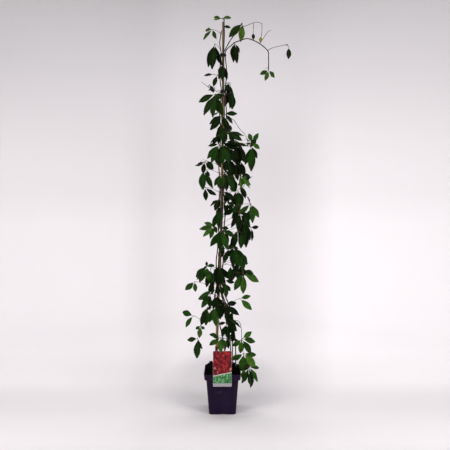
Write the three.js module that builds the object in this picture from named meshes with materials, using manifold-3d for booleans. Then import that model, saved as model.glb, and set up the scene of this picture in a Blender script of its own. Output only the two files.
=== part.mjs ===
// A climbing vine in a square nursery pot, tied to a tall bamboo cane, with a label hooked over the rim.
// Millimetres, +Z up. The origin is the middle of the pot's flat base. The label hangs at the front, -Y.

import * as THREE from "three";
import { mergeVertices } from "three/addons/utils/BufferGeometryUtils.js";
import Module from "manifold-3d";

const wasm = await Module();
wasm.setup();

// Driving dimensions
const POT_HEIGHT = 190;
const RIM_WIDTH = 170;
const BAND_HEIGHT = 28;
const BODY_TOP_WIDTH = 149;
const BASE_WIDTH = 125;
const POT_CORNER = 15;
const WALL = 1.8;
const FLOOR = 2.4;
const DRAIN_RADIUS = 5;
const DRAIN_PITCH = 36;
const ARCH_RADIUS = 8;
const CLEAR = 0.35;

const SOIL_CREST = 209;

const CANE_BASE = 26;
const CANE_TOP = 1828;
const CANE_RADIUS_LOW = 7;
const CANE_RADIUS_HIGH = 5.4;

const TIE_HEIGHTS = [600, 800, 1050, 1290, 1505, 1678];
const TIE_LENGTH = 8;
const TIE_SIDES = 10;
const TIE_WALL = 1.8;

const STEM_RADIUS = 2.2;
const SHOOT_RADIUS = 1.3;
const STALK_RADIUS = 1.1;
const STEM_OFFSET = 9.3;
const STEM_BOW = 8;
// A stem wanders this many degrees to either side of its own side of the cane, over this length in mm.
const STEM_WANDER = 22;
const WANDER_LENGTH = 130;
const STALK_SLOPE = 0.3;
const STALK_ARCH = 0.09;

const CARD_WIDTH = 85;
const CARD_BOTTOM = 138;
const CARD_TOP = 300;
const CARD_THICK = 0.8;
const CARD_CORNER = 4;
const TAB_LEFT = -33;
const TAB_RIGHT = -20;
const TAB_HEIGHT = 20;

// The cane's axis, from the pot's floor to the top: it leans to the left near the soil.
const CANE_AXIS = [
  [-36, 0, 26],
  [-30, 0, 220],
  [-25, 0, 376],
  [-13, 0, 707],
  [-5, 0, 873],
  [-3, 0, 1040],
  [0, 0, 1228],
  [3, 0, 1394],
  [4, 0, 1828],
];
const CANE_NODES = [120, 330, 515, 700, 925, 1170, 1400, 1590, 1760];

// A shoot is a list of [x, y, z] by hand. A leaf is [x, y, z, length, headings, shares]: the hub where its
// leaflets meet, the longest leaflet's length, and each leaflet's heading in degrees clockwise from up as
// seen from the front. Where the leaflets are uneven, the shares say how much of the length each one has.
const VINES = {
  vine_front: {
    angle: -90,
    foot: [
      [40, -18, 150],
      [39, -19, 215],
      [36, -22, 330],
      [20, -22, 450],
      [-3, -17, 540],
      [-18, -10.5, 580],
    ],
    top: 1847,
    tip: [],
    shoots: [],
    leaves: [
      [-5, -12, 1846, 40, [262, 288]],
      [-2, -14, 1847, 46, [82]],
      [3, -16, 1806, 36, [94]],
      [6, -48, 1614, 76, [170, 188, 206]],
      [-32, -58, 1478, 118, [164, 187, 213, 258], [0.95, 1, 0.95, 0.84]],
      [10, -44, 1390, 62, [88, 138]],
      [0, -76, 1376, 88, [160, 218, 247]],
      [-7, -42, 1347, 106, [172, 190]],
      [25, -62, 1302, 80, [94, 120, 148, 200], [1, 1, 0.8, 0.75]],
      [-16, -50, 1290, 60, [212, 238]],
      [-16, -46, 1248, 52, [263]],
      [0, -102, 1238, 95, [138, 160, 182, 204]],
      [-12, -82, 1241, 96, [206, 230]],
      [20, -88, 1180, 80, [146, 168, 190]],
      [-13, -46, 1107, 64, [186, 204]],
      [17, -84, 1106, 88, [132, 152, 172]],
      [-18, -56, 991, 56, [200, 242]],
      [-24, -86, 935, 86, [172, 191]],
      [-6, -96, 852, 98, [112, 160, 183, 210], [0.8, 1, 1, 1]],
      [51, -66, 772, 98, [140, 163, 185, 207]],
      [39, -100, 692, 74, [186]],
      [-14, -60, 686, 122, [150, 171, 190, 208]],
      [8, -102, 611, 70, [142, 164, 186]],
      [-29, -98, 556, 78, [150, 172, 194]],
      [-36, -64, 500, 98, [157, 177, 196]],
      [12, -92, 512, 88, [82, 127, 168, 197]],
      [17, -66, 446, 86, [114, 138]],
      [20, -50, 416, 80, [152, 176, 202]],
      [-9, -112, 365, 70, [142, 178, 233, 280]],
    ],
  },
  vine_right: {
    angle: 0,
    foot: [
      [62, 2, 150],
      [63, 3, 215],
      [60, 3, 330],
      [45, 2, 450],
      [16, 1, 530],
      [-6, -3, 580],
    ],
    top: 1678,
    tip: [
      [14, 0, 1692],
      [24, -2, 1708],
      [42, -5, 1722],
      [57, -7, 1734],
      [81, -10, 1742],
      [113, -15, 1750],
      [140, -20, 1742],
      [174, -26, 1722],
      [210, -32, 1688],
      [215, -34, 1658],
      [215, -36, 1596],
    ],
    shoots: [
      [
        [210, -32, 1688],
        [241, -38, 1700],
        [305, -44, 1712],
      ],
      [
        [174, -26, 1722],
        [190, -28, 1744],
        [212, -34, 1774],
        [228, -36, 1780],
      ],
      [
        [12, 0, 1385],
        [50, -6, 1371],
        [80, -12, 1327],
        [104, -14, 1301],
        [119, -16, 1270],
      ],
      [
        [50, 2, 425],
        [76, -14, 420],
        [88, -26, 392],
        [90, -40, 345],
        [96, -46, 285],
        [112, -46, 225],
      ],
    ],
    leaves: [
      [58, -14, 1726, 92, [146, 175, 190], [0.5, 1, 0.9]],
      [215, -36, 1594, 50, [133, 197, 246]],
      [308, -44, 1700, 58, [181]],
      [37, 8, 1548, 122, [175, 187]],
      [137, -18, 1260, 56, [-14, 38, 126]],
      [121, -14, 1243, 42, [284]],
      [136, -24, 1244, 120, [158, 179, 198], [0.6, 1, 0.8]],
      [60, -12, 1170, 92, [150, 172, 195]],
      [82, -36, 1108, 82, [121, 142, 171], [1, 1, 0.8]],
      [92, -8, 1044, 40, [140]],
      [114, 6, 1015, 44, [153]],
      [133, -16, 974, 96, [148, 173, 227]],
      [74, -2, 1036, 94, [160, 176, 190]],
      [82, -30, 934, 88, [188, 214]],
      [97, -18, 887, 130, [152, 169, 184]],
      [134, 14, 862, 42, [90]],
      [68, -22, 839, 70, [192]],
      [86, -24, 748, 92, [150, 172, 194]],
      [97, 0, 708, 34, [126]],
      [96, -30, 649, 102, [117, 178, 205], [0.97, 1, 0.9]],
      [82, -20, 528, 82, [75, 132], [0.65, 1]],
      [92, -56, 348, 68, [56, 103], [0.85, 1]],
      [90, -46, 343, 84, [145, 187, 230], [1, 0.8, 0.75]],
      [98, -66, 282, 92, [105, 140, 186, 236], [0.75, 1, 1, 0.8]],
      [123, -46, 214, 108, [95, 145, 167, 196], [0.6, 0.8, 1, 0.85]],
    ],
  },
  vine_left: {
    angle: 180,
    foot: [
      [16, 24, 150],
      [15, 25, 215],
      [2, 27, 330],
      [-22, 22, 430],
      [-37, 10, 520],
      [-27, 3.5, 584],
    ],
    top: 1792,
    tip: [],
    shoots: [
      [
        [-14, 0, 1500],
        [-57, -6, 1518],
        [-100, -10, 1549],
      ],
      [
        [-31, 16, 470],
        [-66, 6, 452],
        [-96, -2, 418],
        [-112, -10, 360],
      ],
    ],
    leaves: [
      [-48, -8, 1795, 66, [160, 226, 290], [0.8, 1, 0.7]],
      [-36, -46, 1714, 118, [171, 187, 204]],
      [-42, -8, 1584, 46, [264]],
      [-24, -22, 1577, 58, [200]],
      [-35, -10, 1522, 36, [250]],
      [-83, -6, 1171, 58, [136, 190, 252]],
      [-87, 12, 1137, 106, [157, 188]],
      [-82, -12, 1050, 66, [128, 176]],
      [-38, -24, 866, 76, [201, 230, 264, 300]],
      [-76, -16, 680, 86, [85, 168, 203, 223], [0.5, 0.9, 1, 0.9]],
      [-56, -16, 668, 98, [174, 192]],
      [-132, 4, 605, 68, [176, 226], [0.75, 1]],
      [-56, -30, 552, 86, [187, 212, 244]],
      [-139, 0, 443, 70, [212, 291], [0.95, 1]],
      [-72, 12, 483, 94, [184, 203], [1, 0.8]],
      [-104, -10, 398, 60, [135, 185, 230], [0.5, 1, 0.5]],
      [-116, -22, 341, 98, [160, 182, 256], [0.6, 1, 0.62]],
    ],
  },
  vine_back: {
    angle: 90,
    foot: [
      [48, 26, 150],
      [48, 27, 215],
      [46, 28, 330],
      [29, 26, 450],
      [2, 19, 535],
      [-11.5, 9.6, 580],
    ],
    top: 1678,
    tip: [
      [5, 9.5, 1692],
      [18, 9, 1716],
      [38, 8, 1752],
      [66, 8, 1790],
      [93, 8, 1833],
    ],
    shoots: [
      [
        [93, 8, 1833],
        [104, 4, 1816],
        [146, -2, 1830],
        [167, -4, 1832],
        [188, -6, 1824],
      ],
      [
        [146, -2, 1830],
        [147, -5, 1808],
        [145, -8, 1782],
      ],
      [
        [188, -6, 1824],
        [187, -9, 1800],
        [183, -12, 1764],
      ],
    ],
    leaves: [
      [95, 12, 1835, 96, [184, 226]],
      [145, -8, 1781, 34, [178]],
      [183, -12, 1763, 32, [190]],
      [75, 46, 1269, 130, [160, 177, 193]],
      [41, 64, 1257, 112, [168, 188]],
      [19, 40, 1032, 60, [170, 188]],
      [31, 48, 979, 52, [158, 207]],
      [65, 44, 694, 102, [172, 190]],
      [2, 44, 1651, 72, [170, 200]],
      [-40, 56, 1490, 84, [164, 192]],
      [7, 60, 1373, 102, [160, 182, 204]],
      [-3, 78, 1259, 86, [155, 180, 205]],
      [7, 66, 1131, 86, [150, 175, 200]],
      [86, 60, 1188, 98, [165, 190]],
      [66, 72, 1044, 92, [165, 190]],
      [99, 74, 917, 110, [168, 188]],
      [-3, 66, 858, 82, [170, 200]],
      [61, 74, 751, 92, [168, 190]],
      [-27, 62, 664, 92, [176, 200]],
      [-3, 62, 508, 86, [150, 180, 210]],
      [-3, 52, 326, 62, [160, 200]],
    ],
  },
};

// Half outline of a leaflet: how far along, and how wide as a share of the half width. Each tooth is a
// wide point with a narrower one just after it. Below the blade each leaflet has a short neck.
const TOOTHED = [
  [0.38, 0.86],
  [0.57, 1.0],
  [0.6, 0.8],
  [0.78, 0.56],
];
const TOOTHED_SMALL = [
  [0.4, 0.9],
  [0.61, 0.94],
  [0.64, 0.72],
];
const NECK_AT = 0.14;
const NECK_HALF_WIDTH = 1.1;
const FULL_TEETH_FROM = 74;
const RIB_AT = 0.5;
const RIB_HALF_THICK = 0.6;
const LEAST_HALF_WIDTH = 3;
const HALF_WIDTH_SHARE = 0.14;
const SHORTER_OUTWARD = 0.095;
const FOLD = 0.22;
// Leaves further back than this turn their upper face to the back, the others to the front.
const BACK_FROM = 25;
const FACING_OUT = 0.92;
const FACING_UP = 0.4;
const MOST_LEAN = 8;
const MOST_ROLL = 16;
// Each leaflet hangs a few degrees behind its neighbour, so that they overlap like tiles and never cross.
const LAYER = 9.5;
const CROWDED = 27;
const CURL_LEAST = 0.04;
const CURL_MOST = 0.2;
const HUB_RADIUS = 1.6;
const HUB_HALF_THICK = 0.35;
// The leaves of each vine draw their small differences from numbers of their own.
const FIRST_DRAW = 100;

const radians = THREE.MathUtils.degToRad;
const vector = (p) => new THREE.Vector3(...p);

// The same draw every time for the same pair of numbers, from 0 to 1
function draw(a, b) {
  const s = Math.sin(a * 127.1 + b * 311.7) * 43758.5453;
  return s - Math.floor(s);
}

function between(a, b, low, high) {
  return low + (high - low) * draw(a, b);
}

// Solids
function solid(vertices, triangles) {
  return new wasm.Manifold(
    new wasm.Mesh({
      numProp: 3,
      vertProperties: new Float32Array(vertices.flatMap((v) => v.toArray())),
      triVerts: new Uint32Array(triangles.flat()),
    }),
  );
}

function solidOfGeometry(geometry) {
  const bare = geometry.clone();
  bare.deleteAttribute("normal");
  bare.deleteAttribute("uv");
  const merged = mergeVertices(bare, 1e-4);
  return new wasm.Manifold(
    new wasm.Mesh({
      numProp: 3,
      vertProperties: merged.attributes.position.array,
      triVerts: new Uint32Array(merged.index.array),
    }),
  );
}

function geometryOfSolid(made) {
  const mesh = made.getMesh();
  const geometry = new THREE.BufferGeometry();
  geometry.setAttribute("position", new THREE.BufferAttribute(mesh.vertProperties, 3));
  geometry.setIndex(new THREE.BufferAttribute(mesh.triVerts, 1));
  geometry.computeVertexNormals();
  return geometry;
}

// Joins a list of solids two by two, so that no join works on more than it needs
function join(solids) {
  let level = solids;
  while (level.length > 1) {
    const next = [];
    for (let i = 0; i < level.length; i += 2) {
      next.push(i + 1 < level.length ? level[i].add(level[i + 1]) : level[i]);
    }
    level = next;
  }
  return level[0];
}

// A closed skin over rings with the same number of points, counter-clockwise as seen from the last one
function loft(rings) {
  const sides = rings[0].length;
  const triangles = [];
  for (let r = 0; r + 1 < rings.length; r++) {
    for (let i = 0; i < sides; i++) {
      const a = r * sides + i;
      const b = r * sides + ((i + 1) % sides);
      triangles.push([a, b, b + sides], [a, b + sides, a + sides]);
    }
  }
  const last = (rings.length - 1) * sides;
  for (let i = 1; i + 1 < sides; i++) {
    triangles.push([0, i + 1, i], [last, last + i, last + i + 1]);
  }
  return solid(rings.flat(), triangles);
}

function tube(points, radii, sides) {
  const rings = [];
  let across = new THREE.Vector3(0, 1, 0);
  points.forEach((point, i) => {
    const before = points[Math.max(i - 1, 0)];
    const after = points[Math.min(i + 1, points.length - 1)];
    const along = after.clone().sub(before).normalize();
    if (Math.abs(along.dot(across)) > 0.95) {
      across = new THREE.Vector3(1, 0, 0);
    }
    across = across.clone().addScaledVector(along, -across.dot(along)).normalize();
    const up = along.clone().cross(across);
    const ring = [];
    for (let k = 0; k < sides; k++) {
      const turn = (2 * Math.PI * k) / sides;
      const offset = across.clone().multiplyScalar(Math.cos(turn)).addScaledVector(up, Math.sin(turn));
      ring.push(point.clone().addScaledVector(offset, radii[i]));
    }
    rings.push(ring);
  });
  return loft(rings);
}

function box(x0, x1, y0, y1, z0, z1) {
  const geometry = new THREE.BoxGeometry(x1 - x0, y1 - y0, z1 - z0);
  geometry.translate((x0 + x1) / 2, (y0 + y1) / 2, (z0 + z1) / 2);
  return solidOfGeometry(geometry);
}

// A square ring with round corners
function squareRing(half, corner, z) {
  const ring = [];
  const steps = 3;
  for (let quarter = 0; quarter < 4; quarter++) {
    const start = (quarter * Math.PI) / 2;
    const cx = (half - corner) * Math.sign(Math.cos(start + Math.PI / 4));
    const cy = (half - corner) * Math.sign(Math.sin(start + Math.PI / 4));
    for (let k = 0; k <= steps; k++) {
      const turn = start + (k / steps) * (Math.PI / 2);
      ring.push(new THREE.Vector3(cx + corner * Math.cos(turn), cy + corner * Math.sin(turn), z));
    }
  }
  return ring;
}

// Where a hand-drawn path passes a height
function atHeight(path, z) {
  for (let i = 0; i + 1 < path.length; i++) {
    if (z <= path[i + 1][2] || i + 2 === path.length) {
      const share = (z - path[i][2]) / (path[i + 1][2] - path[i][2]);
      return vector(path[i]).lerp(vector(path[i + 1]), share);
    }
  }
}

const BAND_BOTTOM = POT_HEIGHT - BAND_HEIGHT;

function pot() {
  const outside = [
    [BASE_WIDTH / 2 - 1, 0],
    [BASE_WIDTH / 2, 1.5],
    [BODY_TOP_WIDTH / 2, BAND_BOTTOM - 1],
    [RIM_WIDTH / 2 - 2.6, BAND_BOTTOM],
    [RIM_WIDTH / 2 - 2.4, BAND_BOTTOM + 2],
    [RIM_WIDTH / 2, POT_HEIGHT - 1],
    [RIM_WIDTH / 2 - 0.5, POT_HEIGHT],
  ];
  const inside = [
    [RIM_WIDTH / 2 - WALL, POT_HEIGHT],
    [RIM_WIDTH / 2 - WALL - 2.4, BAND_BOTTOM + 2],
    [BODY_TOP_WIDTH / 2 - WALL, BAND_BOTTOM + 1],
    [BASE_WIDTH / 2 - WALL, FLOOR],
  ];
  let body = loft([...outside, ...inside].map(([half, z]) => squareRing(half, POT_CORNER, z)));
  const drain = new THREE.CylinderGeometry(DRAIN_RADIUS, DRAIN_RADIUS, 4 * FLOOR, 8);
  drain.rotateX(Math.PI / 2);
  for (const x of [-DRAIN_PITCH, 0, DRAIN_PITCH]) {
    for (const y of [-DRAIN_PITCH, 0, DRAIN_PITCH]) {
      if (x || y) {
        body = body.subtract(solidOfGeometry(drain.clone().translate(x, y, 0)));
      }
    }
  }
  const arch = new THREE.CylinderGeometry(ARCH_RADIUS, ARCH_RADIUS, 1.5 * ARCH_RADIUS, 10);
  arch.scale(1, 1, 0.65);
  for (let side = 0; side < 4; side++) {
    const cut = arch.clone().translate(0, -BASE_WIDTH / 2, 0);
    cut.rotateZ((side * Math.PI) / 2);
    body = body.subtract(solidOfGeometry(cut));
  }
  return body;
}

// Rings from the wall to the middle of the heap: half width, height, and how far a lump may rise or sink
const HEAP = [
  [RIM_WIDTH / 2 - WALL - 3, POT_HEIGHT - 6, 1.5],
  [72, POT_HEIGHT + 7, 4],
  [56, SOIL_CREST, 5],
  [38, SOIL_CREST - 2, 6],
  [20, SOIL_CREST + 1, 5],
];

function heapedSoil() {
  const wall = [
    [BASE_WIDTH / 2 - WALL - CLEAR, FLOOR + CLEAR],
    [BODY_TOP_WIDTH / 2 - WALL - CLEAR, BAND_BOTTOM + 1.2],
    [RIM_WIDTH / 2 - WALL - 3, BAND_BOTTOM + 3],
  ];
  const rings = wall.map(([half, z]) => squareRing(half, POT_CORNER, z));
  HEAP.forEach(([half, z, lump], r) => {
    const ring = squareRing(half, Math.min(POT_CORNER, half * 0.6), z);
    ring.forEach((point, i) => {
      point.z += lump * between(i, r, -1, 1);
      if (r) {
        point.x *= between(i, r + 20, 0.94, 1.04);
        point.y *= between(i, r + 40, 0.94, 1.04);
      }
    });
    rings.push(ring);
  });
  return loft(rings);
}

function caneSolid(grow) {
  const points = [];
  const radii = [];
  const radiusAt = (z) =>
    THREE.MathUtils.mapLinear(z, CANE_BASE, CANE_TOP, CANE_RADIUS_LOW, CANE_RADIUS_HIGH) + grow;
  const add = (z, radius) => {
    points.push(atHeight(CANE_AXIS, z));
    radii.push(radius);
  };
  add(CANE_BASE, radiusAt(CANE_BASE));
  for (const z of CANE_NODES) {
    add(z - 5, radiusAt(z));
    add(z, radiusAt(z) + 0.9);
    add(z + 5, radiusAt(z) - 0.2);
  }
  add(CANE_TOP, radiusAt(CANE_TOP));
  return tube(points, radii, 8);
}

const TIE_RADIUS = (STEM_OFFSET + STEM_RADIUS + 0.6) / Math.cos(Math.PI / TIE_SIDES);

function tie(z) {
  const profile = [
    new THREE.Vector2(TIE_RADIUS, -TIE_LENGTH / 2),
    new THREE.Vector2(TIE_RADIUS + TIE_WALL, -TIE_LENGTH / 2 + 1),
    new THREE.Vector2(TIE_RADIUS + TIE_WALL, TIE_LENGTH / 2 - 1),
    new THREE.Vector2(TIE_RADIUS, TIE_LENGTH / 2),
    new THREE.Vector2(TIE_RADIUS, -TIE_LENGTH / 2),
  ];
  const ring = new THREE.LatheGeometry(profile, TIE_SIDES);
  ring.rotateX(Math.PI / 2);
  const middle = atHeight(CANE_AXIS, z);
  ring.translate(middle.x, middle.y, z);
  return solidOfGeometry(ring);
}

// The card hangs in front of the rim on a strap that goes over it and down inside
const CARD_BACK = -RIM_WIDTH / 2 - 3.6;
const STRAP_WIDTH = 30;
const STRAP_INNER = -RIM_WIDTH / 2 + WALL + 3;
const STRAP_END = POT_HEIGHT - 20;

function label() {
  const half = CARD_WIDTH / 2;
  const round = CARD_CORNER;
  const outline = new THREE.Shape();
  outline.moveTo(-half + round, CARD_BOTTOM);
  outline.lineTo(half - round, CARD_BOTTOM);
  outline.quadraticCurveTo(half, CARD_BOTTOM, half, CARD_BOTTOM + round);
  outline.lineTo(half, CARD_TOP - round);
  outline.quadraticCurveTo(half, CARD_TOP, half - round, CARD_TOP);
  outline.lineTo(TAB_RIGHT, CARD_TOP);
  outline.lineTo(TAB_RIGHT - 1, CARD_TOP + TAB_HEIGHT);
  outline.lineTo(TAB_LEFT + 1, CARD_TOP + TAB_HEIGHT);
  outline.lineTo(TAB_LEFT, CARD_TOP);
  outline.lineTo(-half + round, CARD_TOP);
  outline.quadraticCurveTo(-half, CARD_TOP, -half, CARD_TOP - round);
  outline.lineTo(-half, CARD_BOTTOM + round);
  outline.quadraticCurveTo(-half, CARD_BOTTOM, -half + round, CARD_BOTTOM);
  const flat = { depth: CARD_THICK, bevelEnabled: false, curveSegments: 3 };
  const card = new THREE.ExtrudeGeometry(outline, flat);
  card.rotateX(Math.PI / 2);
  card.translate(0, CARD_BACK, 0);
  const strapTop = POT_HEIGHT + 0.4 + CARD_THICK;
  const side = STRAP_WIDTH / 2;
  const strapBack = STRAP_INNER + CARD_THICK;
  const over = box(-side, side, CARD_BACK - CARD_THICK / 2, strapBack, strapTop - CARD_THICK, strapTop);
  const down = box(-side, side, STRAP_INNER, strapBack, STRAP_END, strapTop);
  return join([solidOfGeometry(card), over, down]);
}

// The soil leaves the strap free in an open slot against the wall
function strapSlot() {
  return box(
    -STRAP_WIDTH / 2 - CLEAR,
    STRAP_WIDTH / 2 + CLEAR,
    -RIM_WIDTH / 2 - 1,
    STRAP_INNER + CARD_THICK + CLEAR,
    STRAP_END - CLEAR,
    POT_HEIGHT + 30,
  );
}

// Each stem keeps to its own side of the cane. It lies against it at the ties and bows out between them.
function stemPath(vine) {
  const points = vine.foot.map(vector);
  const stops = [...TIE_HEIGHTS.filter((z) => z < vine.top), vine.top];
  const steps = 4;
  for (let i = 0; i + 1 < stops.length; i++) {
    for (let k = 0; k < steps; k++) {
      points.push(besideCane(vine, stops[i], stops[i + 1], k / steps));
    }
  }
  points.push(besideCane(vine, stops.at(-2), stops.at(-1), 1));
  return [...points, ...vine.tip.map(vector)];
}

function besideCane(vine, low, high, share) {
  const z = THREE.MathUtils.lerp(low, high, share);
  const bow = STEM_OFFSET + STEM_BOW * Math.sin(Math.PI * share) ** 2;
  const turn = radians(vine.angle + STEM_WANDER * Math.sin(z / WANDER_LENGTH));
  const middle = atHeight(CANE_AXIS, z);
  return new THREE.Vector3(middle.x + bow * Math.cos(turn), middle.y + bow * Math.sin(turn), z);
}

function taper(count, first, last) {
  return Array.from({ length: count }, (_, i) => THREE.MathUtils.lerp(first, last, i / (count - 1)));
}

// One closed blade for the whole leaf: the leaflets are cut down to the hub and share its middle. The two
// faces share their outline and part only along the ribs, so they never cross.
function blade(hub, back, leaflets) {
  const vertices = [
    hub.clone().addScaledVector(leaflets[0].normal, HUB_HALF_THICK),
    hub.clone().addScaledVector(leaflets[0].normal, -HUB_HALF_THICK),
    hub.clone().addScaledVector(back, HUB_RADIUS),
  ];
  for (let k = 1; k < leaflets.length; k++) {
    const middle = leaflets[k].along.clone().add(leaflets[k - 1].along).normalize();
    vertices.push(hub.clone().addScaledVector(middle, HUB_RADIUS));
  }
  const notch = (k) => (k === 0 || k === leaflets.length ? 2 : 2 + k);
  const triangles = [];
  leaflets.forEach((own, k) => {
    const across = own.along.clone().cross(own.normal);
    const halfWidth = LEAST_HALF_WIDTH + HALF_WIDTH_SHARE * own.length;
    const place = (share, wide, lift) => {
      const rise = FOLD * Math.abs(wide) * halfWidth - own.curl * own.length * share * share + lift;
      const point = hub.clone().addScaledVector(own.along, share * own.length);
      return point.addScaledVector(across, wide * halfWidth).addScaledVector(own.normal, rise);
    };
    const side = [[NECK_AT, NECK_HALF_WIDTH / halfWidth], ...own.teeth];
    const edge = [
      ...side.map(([share, wide]) => place(share, wide, 0)),
      place(1, 0, 0),
      ...side.toReversed().map(([share, wide]) => place(share, -wide, 0)),
    ];
    const first = vertices.length;
    const rib = first + edge.length;
    vertices.push(...edge, place(RIB_AT, 0, RIB_HALF_THICK), place(RIB_AT, 0, -RIB_HALF_THICK));
    const around = [notch(k + 1), ...edge.map((_, i) => first + i), notch(k)];
    for (let i = 0; i + 1 < around.length; i++) {
      triangles.push([rib, around[i], around[i + 1]], [rib + 1, around[i + 1], around[i]]);
    }
    if (leaflets.length > 1) {
      triangles.push([rib, notch(k), 0], [rib, 0, notch(k + 1)]);
      triangles.push([rib + 1, 1, notch(k)], [rib + 1, notch(k + 1), 1]);
    }
  });
  if (leaflets.length > 1) {
    return solid(vertices, triangles);
  }
  return solid(vertices.slice(2), triangles.map((corner) => corner.map((v) => v - 2)));
}

// The point of the stems from which a stalk would rise to a hub at a slope
function rootOn(routes, hub, slope) {
  let best = routes[0][0];
  let least = Infinity;
  for (const route of routes) {
    for (let i = 0; i + 1 < route.length; i++) {
      for (let k = 0; k < 8; k++) {
        const point = route[i].clone().lerp(route[i + 1], k / 8);
        const out = Math.hypot(point.x - hub.x, point.y - hub.y);
        const away = Math.hypot(out, point.z - (hub.z - slope * out));
        if (away < least) {
          least = away;
          best = point;
        }
      }
    }
  }
  return best;
}

// The stalk leaves the nearest stem or shoot below the hub and arches up to it
function stalkPoints(hub, routes) {
  const best = rootOn(routes, hub, STALK_SLOPE);
  const middle = best.clone().lerp(hub, 0.55);
  middle.z += STALK_ARCH * best.distanceTo(hub);
  return [best, middle, hub];
}

function leaf(row, index, routes) {
  const [x, y, z, length, headings, shares] = row;
  const hub = new THREE.Vector3(x, y, z);
  const count = headings.length;
  const spread = (headings.at(-1) - headings[0]) / Math.max(count - 1, 1);
  const middle = (headings.at(-1) + headings[0]) / 2;
  const outward = y > BACK_FROM ? 1 : -1;
  const lean = radians(between(index, 1, -MOST_LEAN, MOST_LEAN));
  const along = new THREE.Vector3(
    Math.sin(radians(middle)) * Math.cos(lean),
    outward * Math.sin(lean),
    Math.cos(radians(middle)) * Math.cos(lean),
  );
  const facing = new THREE.Vector3(0, outward * FACING_OUT, FACING_UP);
  facing.addScaledVector(along, -facing.dot(along)).normalize();
  facing.applyAxisAngle(along, radians(between(index, 2, -MOST_ROLL, MOST_ROLL)));
  const curl = between(index, 3, CURL_LEAST, CURL_MOST);
  const front = Math.floor((count - 1) / 2);
  const clockwise = outward < 0 ? headings : headings.toReversed();
  const leaflets = clockwise.map((heading, k) => {
    const aside = Math.abs(k - front);
    const rank = spread < CROWDED ? 2 * aside - (k > front ? 1 : 0) : aside;
    const fall = radians(LAYER) * rank;
    const swing = radians(heading - middle) * outward;
    const out = along.clone().applyAxisAngle(facing, swing);
    const step = k - (count - 1) / 2;
    const share = shares ? shares[outward < 0 ? k : count - 1 - k] : 1 - SHORTER_OUTWARD * step * step;
    const own = length * share * between(index, 30 + k, 0.96, 1.03);
    return {
      along: out.clone().multiplyScalar(Math.cos(fall)).addScaledVector(facing, -Math.sin(fall)),
      normal: facing.clone().multiplyScalar(Math.cos(fall)).addScaledVector(out, Math.sin(fall)),
      length: own,
      curl,
      teeth: own < FULL_TEETH_FROM ? TOOTHED_SMALL : TOOTHED,
    };
  });
  const stalk = tube(stalkPoints(hub, routes), [STALK_RADIUS, STALK_RADIUS, STALK_RADIUS], 3);
  return stalk.add(blade(hub, along.clone().negate(), leaflets));
}

function vineSolid(vine, firstDraw) {
  const main = stemPath(vine);
  const routes = [main];
  const stems = [tube(main, taper(main.length, STEM_RADIUS, SHOOT_RADIUS), 5)];
  for (const points of vine.shoots) {
    const shoot = [rootOn(routes, vector(points[0]), 0), ...points.slice(1).map(vector)];
    routes.push(shoot);
    stems.push(tube(shoot, taper(shoot.length, SHOOT_RADIUS, SHOOT_RADIUS * 0.7), 4));
  }
  const leaves = vine.leaves.map((row, i) => leaf(row, firstDraw + i, routes));
  return join([...stems, ...leaves]);
}

function stemHole(vine) {
  const path = [vine.foot[0], vine.foot[1], vine.foot[2]].map(vector);
  path[0].z -= CLEAR;
  const radius = STEM_RADIUS + CLEAR;
  return tube(path, [radius, radius, radius], 8);
}

function soil() {
  let made = heapedSoil().subtract(caneSolid(CLEAR + 0.1)).subtract(strapSlot());
  for (const vine of Object.values(VINES)) {
    made = made.subtract(stemHole(vine));
  }
  return made;
}

// Materials
const plastic = new THREE.MeshStandardMaterial({ color: 0x20142d, roughness: 0.45, metalness: 0 });
const peat = new THREE.MeshStandardMaterial({ color: 0x14100e, roughness: 1, metalness: 0 });
const bamboo = new THREE.MeshStandardMaterial({ color: 0xa5814b, roughness: 0.55, metalness: 0 });
const tieBlack = new THREE.MeshStandardMaterial({ color: 0x0c0c0e, roughness: 0.5, metalness: 0 });
const cardPrint = new THREE.MeshStandardMaterial({ color: 0x9c1f2c, roughness: 0.4, metalness: 0 });
const foliage = new THREE.MeshStandardMaterial({ color: 0x1d4718, roughness: 0.5, metalness: 0 });

const group = new THREE.Group();

function place(name, made, material) {
  const mesh = new THREE.Mesh(geometryOfSolid(made), material);
  mesh.name = name;
  group.add(mesh);
}

place("pot", pot(), plastic);
place("soil", soil(), peat);
place("cane", caneSolid(0), bamboo);
TIE_HEIGHTS.forEach((z, i) => place(`tie_${i + 1}`, tie(z), tieBlack));
place("label", label(), cardPrint);

Object.entries(VINES).forEach(([name, vine], v) => place(name, vineSolid(vine, FIRST_DRAW * v), foliage));

export default group;
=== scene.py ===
"""Looks of a climbing vine in a square nursery pot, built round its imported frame.

Metres, +Z up, the front is -Y. Shapes are worked out in mm and become metres when their mesh is made.
"""

from math import copysign, cos, exp, floor, hypot, inf, pi, radians, sin

import bmesh
import bpy
import numpy as np
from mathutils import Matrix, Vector, noise
from numpy.linalg import norm


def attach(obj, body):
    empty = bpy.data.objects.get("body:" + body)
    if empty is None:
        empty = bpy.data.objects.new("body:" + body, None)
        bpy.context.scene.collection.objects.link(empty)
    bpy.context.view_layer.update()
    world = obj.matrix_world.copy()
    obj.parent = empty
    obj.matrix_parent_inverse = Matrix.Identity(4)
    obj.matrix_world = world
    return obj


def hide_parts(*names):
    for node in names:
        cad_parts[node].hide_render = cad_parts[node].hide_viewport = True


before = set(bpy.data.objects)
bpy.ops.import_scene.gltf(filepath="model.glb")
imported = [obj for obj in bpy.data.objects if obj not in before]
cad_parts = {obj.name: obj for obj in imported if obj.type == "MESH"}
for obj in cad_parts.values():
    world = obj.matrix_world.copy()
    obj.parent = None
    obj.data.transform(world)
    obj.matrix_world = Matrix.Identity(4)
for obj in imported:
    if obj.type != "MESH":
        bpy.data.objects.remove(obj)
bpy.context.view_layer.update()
MM = 0.001

# The cane's top in mm, as the photograph has it: 7 mm above the solid's
CANE_TOP = 1835

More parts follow.
